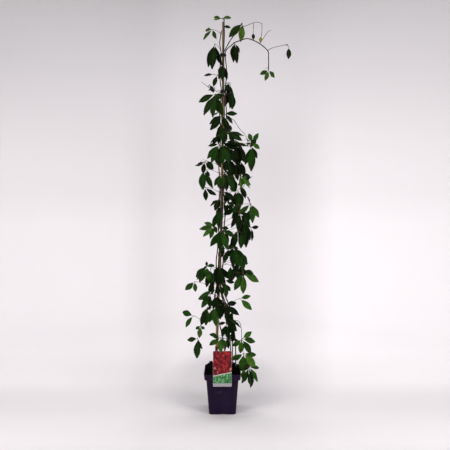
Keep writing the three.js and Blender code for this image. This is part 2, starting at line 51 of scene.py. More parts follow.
# Sizes in mm, as in the part's source
POT_HEIGHT = 190
RIM_WIDTH = 170
BAND_HEIGHT = 28
BODY_TOP_WIDTH = 149
BASE_WIDTH = 125
POT_CORNER = 15
WALL = 1.8
FLOOR = 2.4
DRAIN_RADIUS = 5
DRAIN_PITCH = 36
ARCH_RADIUS = 8
ARCH_SQUEEZE = 0.65
CUT_DEPTH = 12
CANE_BASE = 26
CANE_RADIUS_LOW = 7
CANE_RADIUS_HIGH = 5.4
TIE_HEIGHTS = [600, 800, 1050, 1290, 1505, 1678]
TIE_LENGTH = 8
TIE_WALL = 1.8
STEM_RADIUS = 2.2
STEM_OFFSET = 9.3
STEM_BOW = 8
STEM_WANDER = 22
WANDER_LENGTH = 130
STALK_SLOPE = 0.3
STALK_ARCH = 0.09
CARD_WIDTH = 85
CARD_BOTTOM = 138
CARD_TOP = 300
CARD_THICK = 0.8
CARD_CORNER = 4
CARD_BACK = -RIM_WIDTH / 2 - 3.6
TAB_LEFT = -33
TAB_RIGHT = -20
TAB_HEIGHT = 20
STRAP_WIDTH = 30
STRAP_INNER = -RIM_WIDTH / 2 + WALL + 3
STRAP_END = POT_HEIGHT - 20

# Leaves and leaflets, as in the part's source. Angles are in degrees.
LEAST_HALF_WIDTH = 3
HALF_WIDTH_SHARE = 0.14
SHORTER_OUTWARD = 0.095
FOLD = 0.22
BACK_FROM = 25
FACING_OUT = 0.92
FACING_UP = 0.4
MOST_LEAN = 8
MOST_ROLL = 16
LAYER = 9.5
CROWDED = 27
CURL_LEAST = 0.04
CURL_MOST = 0.2
FIRST_DRAW = 100

CANE_AXIS = [
    [-36, 0, 26], [-30, 0, 220], [-25, 0, 376], [-13, 0, 707], [-5, 0, 873], [-3, 0, 1040],
    [0, 0, 1228], [3, 0, 1394], [4, 0, 1828],
]
CANE_NODES = [120, 330, 515, 700, 925, 1170, 1400, 1590, 1760]

# A shoot is a list of [x, y, z]. A leaf is [x, y, z, length, headings, shares]: the hub where its leaflets
# meet, the longest leaflet's length, each leaflet's heading in degrees clockwise from up as seen from the
# front, and where they are uneven how much of the length each one has.
VINES = {
    "front": {
        "angle": -90,
        "foot": [
            [40, -18, 150], [39, -19, 215], [36, -22, 330], [20, -22, 450], [-3, -17, 540],
            [-18, -10.5, 580],
        ],
        "top": 1847,
        "tip": [],
        "shoots": [],
        "leaves": [
            [-5, -12, 1846, 40, [262, 288]], [-2, -14, 1847, 46, [82]], [3, -16, 1806, 36, [94]],
            [6, -48, 1614, 76, [170, 188, 206]],
            [-32, -58, 1478, 118, [164, 187, 213, 258], [0.95, 1, 0.95, 0.84]],
            [10, -44, 1390, 62, [88, 138]], [0, -76, 1376, 88, [160, 218, 247]],
            [-7, -42, 1347, 106, [172, 190]], [25, -62, 1302, 80, [94, 120, 148, 200], [1, 1, 0.8, 0.75]],
            [-16, -50, 1290, 60, [212, 238]], [-16, -46, 1248, 52, [263]],
            [0, -102, 1238, 95, [138, 160, 182, 204]], [-12, -82, 1241, 96, [206, 230]],
            [20, -88, 1180, 80, [146, 168, 190]], [-13, -46, 1107, 64, [186, 204]],
            [17, -84, 1106, 88, [132, 152, 172]], [-18, -56, 991, 56, [200, 242]],
            [-24, -86, 935, 86, [172, 191]], [-6, -96, 852, 98, [112, 160, 183, 210], [0.8, 1, 1, 1]],
            [51, -66, 772, 98, [140, 163, 185, 207]], [39, -100, 692, 74, [186]],
            [-14, -60, 686, 122, [150, 171, 190, 208]], [8, -102, 611, 70, [142, 164, 186]],
            [-29, -98, 556, 78, [150, 172, 194]], [-36, -64, 500, 98, [157, 177, 196]],
            [12, -92, 512, 88, [82, 127, 168, 197]], [17, -66, 446, 86, [114, 138]],
            [20, -50, 416, 80, [152, 176, 202]], [-9, -112, 365, 70, [142, 178, 233, 280]],
        ],
    },
    "right": {
        "angle": 0,
        "foot": [[62, 2, 150], [63, 3, 215], [60, 3, 330], [45, 2, 450], [16, 1, 530], [-6, -3, 580]],
        "top": 1678,
        "tip": [
            [14, 0, 1692], [24, -2, 1708], [42, -5, 1722], [57, -7, 1734], [81, -10, 1742],
            [113, -15, 1750], [140, -20, 1742], [174, -26, 1722], [210, -32, 1688], [215, -34, 1658],
            [215, -36, 1596],
        ],
        "shoots": [
            [[210, -32, 1688], [241, -38, 1700], [305, -44, 1712]],
            [[174, -26, 1722], [190, -28, 1744], [212, -34, 1774], [228, -36, 1780]],
            [[12, 0, 1385], [50, -6, 1371], [80, -12, 1327], [104, -14, 1301], [119, -16, 1270]],
            [[50, 2, 425], [76, -14, 420], [88, -26, 392], [90, -40, 345], [96, -46, 285], [112, -46, 225]],
        ],
        "leaves": [
            [58, -14, 1726, 92, [146, 175, 190], [0.5, 1, 0.9]], [215, -36, 1594, 50, [133, 197, 246]],
            [308, -44, 1700, 58, [181]], [37, 8, 1548, 122, [175, 187]],
            [137, -18, 1260, 56, [-14, 38, 126]], [121, -14, 1243, 42, [284]],
            [136, -24, 1244, 120, [158, 179, 198], [0.6, 1, 0.8]], [60, -12, 1170, 92, [150, 172, 195]],
            [82, -36, 1108, 82, [121, 142, 171], [1, 1, 0.8]], [92, -8, 1044, 40, [140]],
            [114, 6, 1015, 44, [153]], [133, -16, 974, 96, [148, 173, 227]],
            [74, -2, 1036, 94, [160, 176, 190]], [82, -30, 934, 88, [188, 214]],
            [97, -18, 887, 130, [152, 169, 184]], [134, 14, 862, 42, [90]], [68, -22, 839, 70, [192]],
            [86, -24, 748, 92, [150, 172, 194]], [97, 0, 708, 34, [126]],
            [96, -30, 649, 102, [117, 178, 205], [0.97, 1, 0.9]], [82, -20, 528, 82, [75, 132], [0.65, 1]],
            [92, -56, 348, 68, [56, 103], [0.85, 1]], [90, -46, 343, 84, [145, 187, 230], [1, 0.8, 0.75]],
            [98, -66, 282, 92, [105, 140, 186, 236], [0.75, 1, 1, 0.8]],
            [123, -46, 214, 108, [95, 145, 167, 196], [0.6, 0.8, 1, 0.85]],
        ],
    },
    "left": {
        "angle": 180,
        "foot": [
            [16, 24, 150], [15, 25, 215], [2, 27, 330], [-22, 22, 430], [-37, 10, 520], [-27, 3.5, 584],
        ],
        "top": 1792,
        "tip": [],
        "shoots": [
            [[-14, 0, 1500], [-57, -6, 1518], [-100, -10, 1549]],
            [[-31, 16, 470], [-66, 6, 452], [-96, -2, 418], [-112, -10, 360]],
        ],
        "leaves": [
            [-48, -8, 1795, 66, [160, 226, 290], [0.8, 1, 0.7]], [-36, -46, 1714, 118, [171, 187, 204]],
            [-42, -8, 1584, 46, [264]], [-24, -22, 1577, 58, [200]], [-35, -10, 1522, 36, [250]],
            [-83, -6, 1171, 58, [136, 190, 252]], [-87, 12, 1137, 106, [157, 188]],
            [-82, -12, 1050, 66, [128, 176]], [-38, -24, 866, 76, [201, 230, 264, 300]],
            [-76, -16, 680, 86, [85, 168, 203, 223], [0.5, 0.9, 1, 0.9]], [-56, -16, 668, 98, [174, 192]],
            [-132, 4, 605, 68, [176, 226], [0.75, 1]], [-56, -30, 552, 86, [187, 212, 244]],
            [-139, 0, 443, 70, [212, 291], [0.95, 1]], [-72, 12, 483, 94, [184, 203], [1, 0.8]],
            [-104, -10, 398, 60, [135, 185, 230], [0.5, 1, 0.5]],
            [-116, -22, 341, 98, [160, 182, 256], [0.6, 1, 0.62]],
        ],
    },
    "back": {
        "angle": 90,
        "foot": [
            [48, 26, 150], [48, 27, 215], [46, 28, 330], [29, 26, 450], [2, 19, 535], [-11.5, 9.6, 580],
        ],
        "top": 1678,
        "tip": [[5, 9.5, 1692], [18, 9, 1716], [38, 8, 1752], [66, 8, 1790], [93, 8, 1833]],
        "shoots": [
            [[93, 8, 1833], [104, 4, 1816], [146, -2, 1830], [167, -4, 1832], [188, -6, 1824]],
            [[146, -2, 1830], [147, -5, 1808], [145, -8, 1782]],
            [[188, -6, 1824], [187, -9, 1800], [183, -12, 1764]],
        ],
        "leaves": [
            [95, 12, 1835, 96, [184, 226]], [145, -8, 1781, 34, [178]], [183, -12, 1763, 32, [190]],
            [75, 46, 1269, 130, [160, 177, 193]], [41, 64, 1257, 112, [168, 188]],
            [19, 40, 1032, 60, [170, 188]], [31, 48, 979, 52, [158, 207]], [65, 44, 694, 102, [172, 190]],
            [2, 44, 1651, 72, [170, 200]], [-40, 56, 1490, 84, [164, 192]],
            [7, 60, 1373, 102, [160, 182, 204]], [-3, 78, 1259, 86, [155, 180, 205]],
            [7, 66, 1131, 86, [150, 175, 200]], [86, 60, 1188, 98, [165, 190]],
            [66, 72, 1044, 92, [165, 190]], [99, 74, 917, 110, [168, 188]], [-3, 66, 858, 82, [170, 200]],
            [61, 74, 751, 92, [168, 190]], [-27, 62, 664, 92, [176, 200]],
            [-3, 62, 508, 86, [150, 180, 210]], [-3, 52, 326, 62, [160, 200]],
        ],
    },
}

# Leaves that the solids leave out to keep their triangles few, in rows of the same kind
FULLER = {
    "front": [
        [14, -22, 1265, 61, [100]], [3, -24, 976, 54, [152]], [17, -28, 983, 49, [118]],
        [10, -22, 613, 49, [101]], [-28, -26, 597, 61, [170]], [19, -20, 415, 38, [262]],
        [-18, -30, 354, 47, [281]], [-18, -34, 344, 56, [234]], [12, -10, 378, 57, [152]],
        [17, -22, 348, 61, [163]], [47, -18, 1103, 75, [165]], [31, -26, 1346, 35, [160]],
        [40, -26, 770, 37, [100]], [30, -22, 1051, 38, [128]], [8, -34, 1109, 65, [196]],
        [-3, -34, 945, 65, [189]],
    ],
    "right": [
        [80, -20, 1256, 40, [103]], [135, -37, 1250, 33, [278, 40], [0.8, 1]], [75, -18, 974, 52, [212]],
        [129, -12, 951, 85, [196]], [80, -22, 932, 56, [112]], [136, -18, 861, 63, [176]],
        [35, -20, 767, 80, [203]], [85, -16, 680, 56, [148]], [96, -24, 660, 56, [106]],
        [52, -14, 379, 61, [188]], [31, -18, 335, 52, [95]], [87, -30, 336, 58, [172]],
        [98, -40, 259, 60, [138]], [102, -44, 211, 65, [186]], [87, -34, 1113, 49, [108]],
        [80, -24, 1046, 42, [128]], [87, -20, 840, 80, [178]], [87, -9, 968, 80, [210]],
        [126, -9, 185, 80, [170]], [148, -9, 224, 80, [240]], [165, -9, 1297, 71, [210]],
        [140, -9, 1102, 80, [240]], [98, -9, 624, 80, [180]], [76, -9, 800, 71, [230]],
        [79, -9, 1063, 75, [150]], [79, -9, 687, 66, [160]], [82, -9, 926, 80, [140]],
        [63, -9, 945, 66, [250]], [57, -9, 1734, 75, [190]], [72, -9, 852, 80, [200]],
        [111, -10, 1257, 61, [262]],
    ],
    "left": [
        [-7, -30, 861, 37, [97]], [-71, -32, 677, 28, [262, 350], [0.6, 1]], [-44, -30, 616, 68, [194]],
        [-42, -34, 570, 86, [241]], [-76, -24, 477, 77, [198]], [-93, -26, 1154, 37, [268]],
        [-75, -28, 1177, 56, [141]], [-89, -24, 1131, 94, [187]], [-7, -24, 962, 56, [205]],
        [-81, -30, 663, 61, [222]], [-44, -9, 1216, 80, [150]], [-61, -6, 1537, 43, [152]],
        [-37, -26, 597, 56, [199]], [-40, -28, 873, 40, [160]], [-76, -24, 1132, 35, [152]],
        [-44, -28, 487, 35, [258]], [-14, -18, 1404, 33, [242]], [-11, -32, 1001, 65, [201]],
    ],
    "back": [
        [-3, -9, 1261, 80, [110]], [19, -9, 1487, 71, [260]], [47, -9, 1282, 80, [130]],
        [10, -9, 784, 80, [200]], [5, -9, 1136, 80, [130]], [47, -9, 1499, 80, [180]],
        [54, -9, 468, 80, [210]], [13, -9, 847, 80, [170]], [2, -9, 1036, 80, [130]],
        [32, -9, 1545, 47, [200]], [29, -8, 1218, 61, [122]],
    ],
}

# The leaves' painted light and shade, given by their place in the two tables together, from 0 dark to 1
# light
PAINTED_LEAF_LIGHT = {
    "front": {
        0: 0.8, 1: 0.78, 3: 0.3, 4: 0.55, 11: 0.42, 12: 0.6, 14: 0.7, 15: 0.48, 17: 0.56, 18: 0.6, 19: 0.55,
        22: 0.5, 24: 0.82, 28: 0.75, 43: 0.66, 44: 0.48,
    },
    "right": {
        0: 0.08, 1: 0.8, 3: 0.06, 4: 0.8, 6: 0.62, 8: 0.84, 11: 0.8, 12: 0.62, 13: 0.1, 17: 0.6, 19: 0.78,
        20: 0.82, 21: 0.8, 22: 0.8, 23: 0.84, 24: 0.62, 38: 0.93,
    },
    "left": {
        0: 0.75, 1: 0.28, 6: 0.6, 8: 0.8, 9: 0.68, 10: 0.52, 11: 0.75, 12: 0.6, 13: 0.62, 14: 0.55, 15: 0.8,
        16: 0.6, 20: 0.56, 24: 0.62,
    },
    "back": {0: 0.8, 2: 1},
}


# Small maths
def vec(*p):
    return np.array(p, float)


def vecs(points):
    return [vec(*p) for p in points]


def unit(v):
    return v / norm(v)


def draw(a, b):
    """The same draw every time for the same pair of numbers, from 0 to 1."""
    s = sin(a * 127.1 + b * 311.7) * 43758.5453
    return s - floor(s)


def between(a, b, low, high):
    return low + (high - low) * draw(a, b)


def either_way(a, b, most):
    return between(a, b, -most, most)


def turned(v, axis, angle):
    """v turned about a unit axis."""
    c, s = cos(angle), sin(angle)
    return v * c + np.cross(axis, v) * s + axis * (axis @ v) * (1 - c)


def smooth_path(points, step):
    """A Catmull-Rom curve through the points, with a point about every step."""
    p = vecs(points)
    p = [2 * p[0] - p[1], *p, 2 * p[-1] - p[-2]]
    made = []
    for a, b, c, d in zip(p, p[1:], p[2:], p[3:]):
        parts = max(1, round(norm(c - b) / step))
        for k in range(parts):
            t = k / parts
            square, cube = 2 * a - 5 * b + 4 * c - d, 3 * b - a - 3 * c + d
            made.append(0.5 * (2 * b + (c - a) * t + square * t**2 + cube * t**3))
    return [*made, p[-2]]


def round_z(radius, turn, z=0.0):
    """A place at a radius and an angle round the Z axis."""
    return vec(radius * cos(turn), radius * sin(turn), z)


def at_height(path, z):
    for a, b in zip(path, path[1:]):
        if z <= b[2] or b is path[-1]:
            return vec(*a) + (vec(*b) - vec(*a)) * (z - a[2]) / (b[2] - a[2])


# Meshes
def placed(name, data):
    """A new object in the scene."""
    made = bpy.data.objects.new(name, data)
    bpy.context.scene.collection.objects.link(made)
    return made


def skin_faces(count, sides):
    """The faces of a skin over so many rings, with both ends closed."""
    faces = []
    for r in range(count - 1):
        for k in range(sides):
            a, b = r * sides + k, r * sides + (k + 1) % sides
            faces.append((a, b, b + sides, a + sides))
    last = (count - 1) * sides
    return [*faces, tuple(range(sides - 1, -1, -1)), tuple(range(last, last + sides))]


class Shape:
    """Vertices, faces and per-vertex notes gathered for one piece. Places are in mm until it is made."""

    def __init__(self):
        self.points = []
        self.faces = []
        self.notes = []

    def add(self, points, faces, notes):
        first = sum(len(p) for p in self.points)
        self.points.append(np.asarray(points, float))
        self.notes.append(np.asarray(notes, float))
        self.faces.extend(tuple(v + first for v in face) for face in faces)

    def tube(self, path, radii, sides, kind, tint):
        """A round, closed skin along a path. Its notes: the place along it and round it, kind, tint."""
        path = vecs(path)
        across = vec(0, 1, 0)
        points, notes, run = [], [], 0
        for i, point in enumerate(path):
            along = unit(path[min(i + 1, len(path) - 1)] - path[max(i - 1, 0)])
            if abs(along @ across) > 0.95:
                across = vec(1, 0, 0) if abs(along[0]) < 0.9 else vec(0, 0, 1)
            across = unit(across - along * (across @ along))
            up = np.cross(along, across)
            run += norm(point - path[i - 1]) if i else 0
            for k in range(sides):
                turn = 2 * pi * k / sides
                points.append(point + (across * cos(turn) + up * sin(turn)) * radii[i])
                notes.append((run, k / sides, kind, tint))
        self.add(points, skin_faces(len(path), sides), notes)

    def rings(self, rings, notes=None):
        """A skin over rings with the same number of points, counter-clockwise as seen from the last one."""
        flat = [p for ring in rings for p in ring]
        self.add(flat, skin_faces(len(rings), len(rings[0])), notes or [(0, 0, 0, 0)] * len(flat))

    def object(self, name, material, node, slot, sharp=50):
        mesh = bpy.data.meshes.new(name)
        mesh.from_pydata(np.concatenate(self.points) * MM, [], self.faces)
        mesh.polygons.foreach_set("use_smooth", [True] * len(mesh.polygons))
        notes = np.concatenate(self.notes).astype(np.float32)
        colours = mesh.color_attributes.new("notes", "FLOAT_COLOR", "POINT")
        colours.data.foreach_set("color", notes.ravel())
        mesh.update()
        mesh.set_sharp_from_angle(angle=radians(sharp))
        piece = placed(name, mesh)
        mesh.materials.append(material)
        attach(piece, "root")
        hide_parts(node)
        return piece


# Materials
class Paint:
    """A short way to write a material's nodes."""

    def __init__(self, name, **surface):
        self.material = bpy.data.materials.new(name)
        self.material.use_nodes = True
        self.tree = self.material.node_tree
        self.shader = self.tree.nodes["Principled BSDF"]
        for socket, value in surface.items():
            self.shader.inputs[socket.replace("_", " ")].default_value = value
        place = self.tree.nodes.new("ShaderNodeTexCoord")
        self.place = place.outputs["Object"]

    def node(self, kind, settings=None, **inputs):
        node = self.tree.nodes.new("ShaderNode" + kind)
        for key, value in (settings or {}).items():
            setattr(node, key, value)
        for key, value in inputs.items():
            socket = node.inputs[int(key[1:])] if key[0] == "i" and key[1:].isdigit() else node.inputs[key]
            self.set(socket, value)
        return node

    def set(self, socket, value):
        if isinstance(value, bpy.types.NodeSocket):
            self.tree.links.new(value, socket)
        else:
            socket.default_value = value

    def calc(self, operation, a, b=0.0):
        return self.node("Math", {"operation": operation}, i0=a, i1=b).outputs[0]

    def plus(self, a, b):
        return self.calc("ADD", a, b)

    def minus(self, a, b):
        return self.calc("SUBTRACT", a, b)

    def times(self, a, b):
        return self.calc("MULTIPLY", a, b)

    def size(self, a):
        return self.calc("ABSOLUTE", a)

    def height(self):
        return self.node("SeparateXYZ", None, Vector=self.place).outputs[2]

    def fade(self, value, low, high, to_low=0.0, to_high=1.0):
        """A smooth step from to_low, at low, to to_high, at high."""
        node = self.node("MapRange", {"interpolation_type": "SMOOTHSTEP"}, i0=value, i1=low, i2=high)
        self.set(node.inputs[3], to_low)
        self.set(node.inputs[4], to_high)
        return node.outputs[0]

    def noise(self, scale, detail=3.0, vector=None):
        made = self.node("TexNoise", None, Vector=vector or self.place, Scale=scale, Detail=detail)
        return made.outputs["Fac"]

    def cells(self, scale):
        return self.node("TexVoronoi", None, Vector=self.place, Scale=scale).outputs["Distance"]

    def stretch(self, x, y, z):
        """The place with each axis scaled."""
        return self.node("Mapping", None, Vector=self.place, Scale=(x, y, z)).outputs[0]

    def ramp(self, value, stops):
        node = self.node("ValToRGB", None, Fac=value)
        elements = node.color_ramp.elements
        while len(elements) < len(stops):
            elements.new(0.5)
        for element, (place, colour) in zip(elements, stops):
            element.position = place
            element.color = (*colour, 1)
        return node.outputs[0]

    def mix(self, share, a, b, blend="MIX"):
        node = self.tree.nodes.new("ShaderNodeMix")
        node.data_type = "RGBA"
        node.blend_type = blend
        self.set(node.inputs[0], share)
        for socket, value in ((node.inputs[6], a), (node.inputs[7], b)):
            self.set(socket, value if isinstance(value, bpy.types.NodeSocket) else (*value, 1))
        return node.outputs[2]

    def notes(self):
        """The four notes of a vertex: three numbers and the tint."""
        node = self.node("Attribute", {"attribute_name": "notes"})
        parts = self.node("SeparateXYZ", None, Vector=node.outputs["Vector"])
        return [*parts.outputs, node.outputs["Alpha"]]

    def finish(self, colour, rough=None, height=None, strength=None, distance=None):
        self.set(self.shader.inputs["Base Color"], colour)
        if rough is not None:
            self.set(self.shader.inputs["Roughness"], rough)
        if height is not None:
            bump = self.node("Bump", None, Height=height, Strength=strength, Distance=distance)
            self.set(self.shader.inputs["Normal"], bump.outputs[0])
        return self.material


# Side veins: how many along a leaflet, and how far each runs forward to the edge
VEINS = 12.5
VEIN_SLANT = 0.11


def leaf_paint():
    paint = Paint("leaf", Specular_IOR_Level=0.02)
    along, across, side, tint = paint.notes()
    upper = paint.fade(side, 0.4, 0.6)
    patchy = paint.noise(55.0, 4.0)
    # The tint carries each leaf's own tone with its painted light and shade
    shade = paint.plus(tint, paint.times(paint.minus(patchy, 0.5), 0.35))
    green = paint.ramp(
        shade,
        [
            (0.0, (0.0008, 0.0038, 0.0012)),
            (0.35, (0.0032, 0.0148, 0.0024)),
            (0.7, (0.0125, 0.051, 0.0058)),
            (0.88, (0.045, 0.125, 0.013)),
            (0.96, (0.09, 0.18, 0.02)),
            (1.0, (0.26, 0.28, 0.035)),
        ],
    )
    height = paint.height()
    green = paint.mix(paint.fade(height, 1.3, 1.65), green, (1.14, 0.84, 0.86), "MULTIPLY")
    wide = paint.size(across)
    midrib = paint.fade(wide, 0.02, 0.07, 1.0, 0.0)
    course = paint.times(paint.minus(along, paint.times(wide, VEIN_SLANT)), VEINS)
    near = paint.size(paint.minus(paint.calc("FRACT", course), 0.5))
    side_vein = paint.fade(near, 0.43, 0.49)
    side_vein = paint.times(side_vein, paint.fade(wide, 0.75, 1.0, 1.0, 0.0))
    mesh_vein = paint.node("TexVoronoi", {"feature": "DISTANCE_TO_EDGE"}, Vector=paint.place, Scale=420.0)
    net = paint.fade(mesh_vein.outputs["Distance"], 0.0, 0.12, 1.0, 0.0)
    vein = paint.calc("MAXIMUM", midrib, paint.times(side_vein, 0.55))
    pale = paint.mix(0.28, green, (0.13, 0.21, 0.06))
    top = paint.mix(paint.times(vein, 0.7), green, pale)
    top = paint.mix(paint.times(net, 0.16), top, pale)
    below = paint.mix(0.3, green, (0.02, 0.04, 0.018))
    below = paint.mix(paint.times(vein, 0.4), below, (0.07, 0.1, 0.045))
    colour = paint.mix(upper, below, top)
    colour = paint.mix(paint.fade(wide, 0.93, 1.0, 0.0, 0.35), colour, (0.09, 0.05, 0.02))
    rough = paint.plus(paint.fade(upper, 0.0, 1.0, 0.6, 0.36), paint.times(patchy, 0.14))
    relief = paint.minus(paint.times(patchy, 0.25), paint.times(vein, 0.5))
    relief = paint.minus(relief, paint.times(net, 0.2))
    return paint.finish(colour, rough, relief, 0.5, 0.0008)


def stem_paint():
    """Kind 0 is a stem, 1 a leaf stalk, 2 a tendril or rib."""
    paint = Paint("stem", Specular_IOR_Level=0.03)
    _, _, kind, tint = paint.notes()
    bark = paint.noise(1.0, 5.0, paint.stretch(420, 420, 60))
    woody = paint.ramp(
        bark, [(0.3, (0.008, 0.004, 0.006)), (0.55, (0.022, 0.011, 0.013)), (0.8, (0.06, 0.035, 0.03))]
    )
    lenticels = paint.fade(paint.cells(700.0), 0.0, 0.16, 1.0, 0.0)
    woody = paint.mix(paint.times(lenticels, 0.4), woody, (0.12, 0.08, 0.06))
    height = paint.height()
    woody = paint.mix(paint.fade(height, 0.3, 0.42, 0.85, 0.0), woody, (0.27, 0.225, 0.225))
    woody = paint.mix(paint.fade(kind, 0.1, 0.3, 0.0, 0.55), woody, (0.1, 0.062, 0.062))
    flush = paint.noise(60.0, 3.0)
    stalk = paint.ramp(
        flush, [(0.3, (0.06, 0.08, 0.025)), (0.6, (0.07, 0.035, 0.025)), (0.85, (0.08, 0.02, 0.022))]
    )
    fresh = paint.ramp(flush, [(0.3, (0.06, 0.09, 0.03)), (0.8, (0.1, 0.09, 0.04))])
    colour = paint.mix(paint.fade(kind, 0.4, 0.6), woody, stalk)
    colour = paint.mix(paint.fade(kind, 1.4, 1.6), colour, fresh)
    colour = paint.mix(paint.times(tint, 0.25), colour, (0.1, 0.09, 0.05))
    rough = paint.fade(bark, 0.2, 0.8, 0.45, 0.75)
    return paint.finish(colour, rough, paint.plus(bark, paint.times(lenticels, 0.6)), 0.5, 0.0006)


def cane_paint():
    paint = Paint("bamboo", Specular_IOR_Level=0.25)
    _, _, kind, _ = paint.notes()
    streak = paint.noise(1.0, 6.0, paint.stretch(300, 300, 9))
    blotch = paint.noise(24.0, 4.0)
    tan = paint.ramp(
        paint.plus(paint.times(streak, 0.55), paint.times(blotch, 0.5)),
        [
            (0.3, (0.1, 0.055, 0.02)),
            (0.5, (0.24, 0.15, 0.055)),
            (0.68, (0.34, 0.24, 0.1)),
            (0.85, (0.46, 0.36, 0.2)),
        ],
    )
    height = paint.height()
    # Painted shade of the foliage: the cane darker in a band round 0.88 m and above 1.35 m
    painted_foliage_shade = paint.fade(paint.size(paint.minus(height, 0.88)), 0.1, 0.3, 0.62, 0.0)
    painted_foliage_shade = paint.plus(painted_foliage_shade, paint.fade(height, 1.35, 1.5, 0.0, 0.62))
    tan = paint.mix(painted_foliage_shade, tan, (0.022, 0.013, 0.008))
    # Dark rings at the nodes, and painted shade inside the hollow top
    colour = paint.mix(paint.times(paint.fade(kind, 0.05, 0.9), 0.75), tan, (0.13, 0.065, 0.025))
    specks = paint.fade(paint.cells(260.0), 0.0, 0.14, 1.0, 0.0)
    colour = paint.mix(paint.times(specks, paint.fade(blotch, 0.5, 0.7)), colour, (0.08, 0.045, 0.02))
    rough = paint.fade(streak, 0.2, 0.8, 0.36, 0.6)
    return paint.finish(colour, rough, streak, 0.3, 0.0006)


def plastic_paint(name, dark, light, rough, scale):
    paint = Paint(name, Specular_IOR_Level=0.11)
    cloud = paint.noise(scale, 4.0)
    grain = paint.noise(1500.0, 2.0)
    dust = paint.fade(paint.noise(38.0, 6.0), 0.56, 0.78)
    colour = paint.mix(cloud, dark, light)
    colour = paint.mix(paint.times(dust, 0.05), colour, (0.32, 0.28, 0.26))
    value = paint.plus(paint.fade(cloud, 0.2, 0.8, rough, rough + 0.12), paint.times(dust, 0.2))
    return paint.finish(colour, value, grain, 0.18, 0.0003)


def peat_paint():
    paint = Paint("peat", Specular_IOR_Level=0.02)
    _, _, _, tint = paint.notes()
    clumps = paint.noise(150.0, 6.0)
    fine = paint.noise(900.0, 3.0)
    blacks = [
        (0.3, (0.0007, 0.0006, 0.0006)),
        (0.55, (0.0022, 0.0017, 0.0014)),
        (0.75, (0.009, 0.0065, 0.005)),
    ]
    colour = paint.ramp(clumps, blacks)
    colour = paint.mix(paint.times(tint, 0.5), colour, (0.03, 0.02, 0.012))
    height = paint.plus(clumps, paint.times(fine, 0.5))
    return paint.finish(colour, paint.fade(fine, 0.2, 0.8, 0.85, 1.0), height, 0.9, 0.002)


# The label's inks, each by its kind, with its darkest and lightest tone
CRIMSON, PALE, GREEN, GREY, BARE, PINK = 1, 2, 3, 4, 5, 6
INKS = {
    CRIMSON: ((0.04, 0.002, 0.006), (0.62, 0.035, 0.04)),
    PALE: ((0.8, 0.72, 0.66), (0.9, 0.87, 0.84)),
    GREEN: ((0.01, 0.11, 0.03), (0.3, 0.66, 0.3)),
    GREY: ((0.33, 0.32, 0.34), (0.5, 0.49, 0.5)),
    BARE: ((0.66, 0.62, 0.6), (0.8, 0.78, 0.76)),
    PINK: ((0.5, 0.09, 0.1), (0.8, 0.42, 0.38)),
}


def print_paint():
    """The kind in the notes says which ink it is, and the tint makes it lighter."""
    paint = Paint("print", Specular_IOR_Level=0.2)
    _, _, kind, tint = paint.notes()
    grain = paint.noise(260.0, 4.0)
    lit = paint.times(paint.minus(grain, 0.5), 0.3)
    shade = paint.node("Math", {"operation": "ADD", "use_clamp": True}, i0=tint, i1=lit).outputs[0]
    colour = paint.mix(shade, *INKS[CRIMSON])
    for ink in (PALE, GREEN, GREY, BARE, PINK):
        here = paint.calc("GREATER_THAN", kind, ink - 0.5)
        colour = paint.mix(here, colour, paint.mix(shade, *INKS[ink]))
    rough = paint.fade(grain, 0.2, 0.8, 0.28, 0.42)
    return paint.finish(colour, rough, grain, 0.06, 0.0003)


# The vines
def beside_cane(vine, low, high, share):
    z = low + (high - low) * share
    bow = STEM_OFFSET + STEM_BOW * sin(pi * share) ** 2
    turn = radians(vine["angle"] + STEM_WANDER * sin(z / WANDER_LENGTH))
    middle = at_height(CANE_AXIS, z)
    return vec(middle[0] + bow * cos(turn), middle[1] + bow * sin(turn), z)


def stem_path(vine):
    points = vecs(vine["foot"])
    stops = [z for z in TIE_HEIGHTS if z < vine["top"]] + [vine["top"]]
    for low, high in zip(stops, stops[1:]):
        points += [beside_cane(vine, low, high, k / 4) for k in range(4)]
    points.append(beside_cane(vine, stops[-2], stops[-1], 1))
    return points + vecs(vine["tip"])


def root_on(routes, hub, slope):
    """The point of the stems from which a stalk would rise to a hub at a slope."""
    best, least = None, inf
    for route in routes:
        for a, b in zip(route, route[1:]):
            for k in range(8):
                point = a + (b - a) * k / 8
                out = hypot(point[0] - hub[0], point[1] - hub[1])
                away = hypot(out, point[2] - (hub[2] - slope * out))
                if away < least:
                    least, best = away, point
    return best


# Half outline of a leaflet: rows along it with the share of the half width. Each tooth points forward.
BLADE_FROM = 0.12
WIDTH_SCALE = 0.1839
LEAST_SHARE = 0.06
TEETH = 8
TEETH_FROM = 0.3
TEETH_TO = 0.94
TOOTH = [(0.0, 0.0), (0.42, 0.55), (0.78, 1.0), (0.9, 0.3)]
COLUMNS = [-1, -0.74, -0.47, -0.22, 0, 0.22, 0.47, 0.74, 1]
HALF_THICK = 0.22
QUILT = 0.5
RIPPLES = 19
MOST_TWIST = 0.12
RIB_PLACES = [0.0, 0.05, 0.1, 0.16, 0.25, 0.4, 0.55, 0.7, 0.85]
RIB_RADII = [1.0, 0.75, 0.72, 0.72, 0.62, 0.5, 0.4, 0.3, 0.15]
MOST_LEAFLET_ROLL = 30
ASIDE_ROLL = 14


def bare_width(t):
    """The share of the half width without teeth. WIDTH_SCALE is the curve's height, so the most is 1."""
    s = max((t - BLADE_FROM) / (1 - BLADE_FROM), 0)
    return s**1.15 * (1 - s) ** 1.3 / WIDTH_SCALE


def outline_rows():
    """Rows (t, share of the half width, forward reach of the edge)."""
    rows = [(t, max(bare_width(t), LEAST_SHARE), 0.0) for t in (BLADE_FROM, 0.15, 0.18, 0.215, 0.25)]
    pitch = (TEETH_TO - TEETH_FROM) / TEETH
    for tooth in range(TEETH):
        for phase, out in TOOTH:
            t = TEETH_FROM + (tooth + phase) * pitch
            rows.append((t, bare_width(t) * (0.9 + 0.13 * out) + 0.02 * out, 0.5 * pitch * out))
    rows += [(t, bare_width(t), 0.0) for t in (0.94, 0.965, 0.985, 1.0)]
    return rows


ROWS = outline_rows()


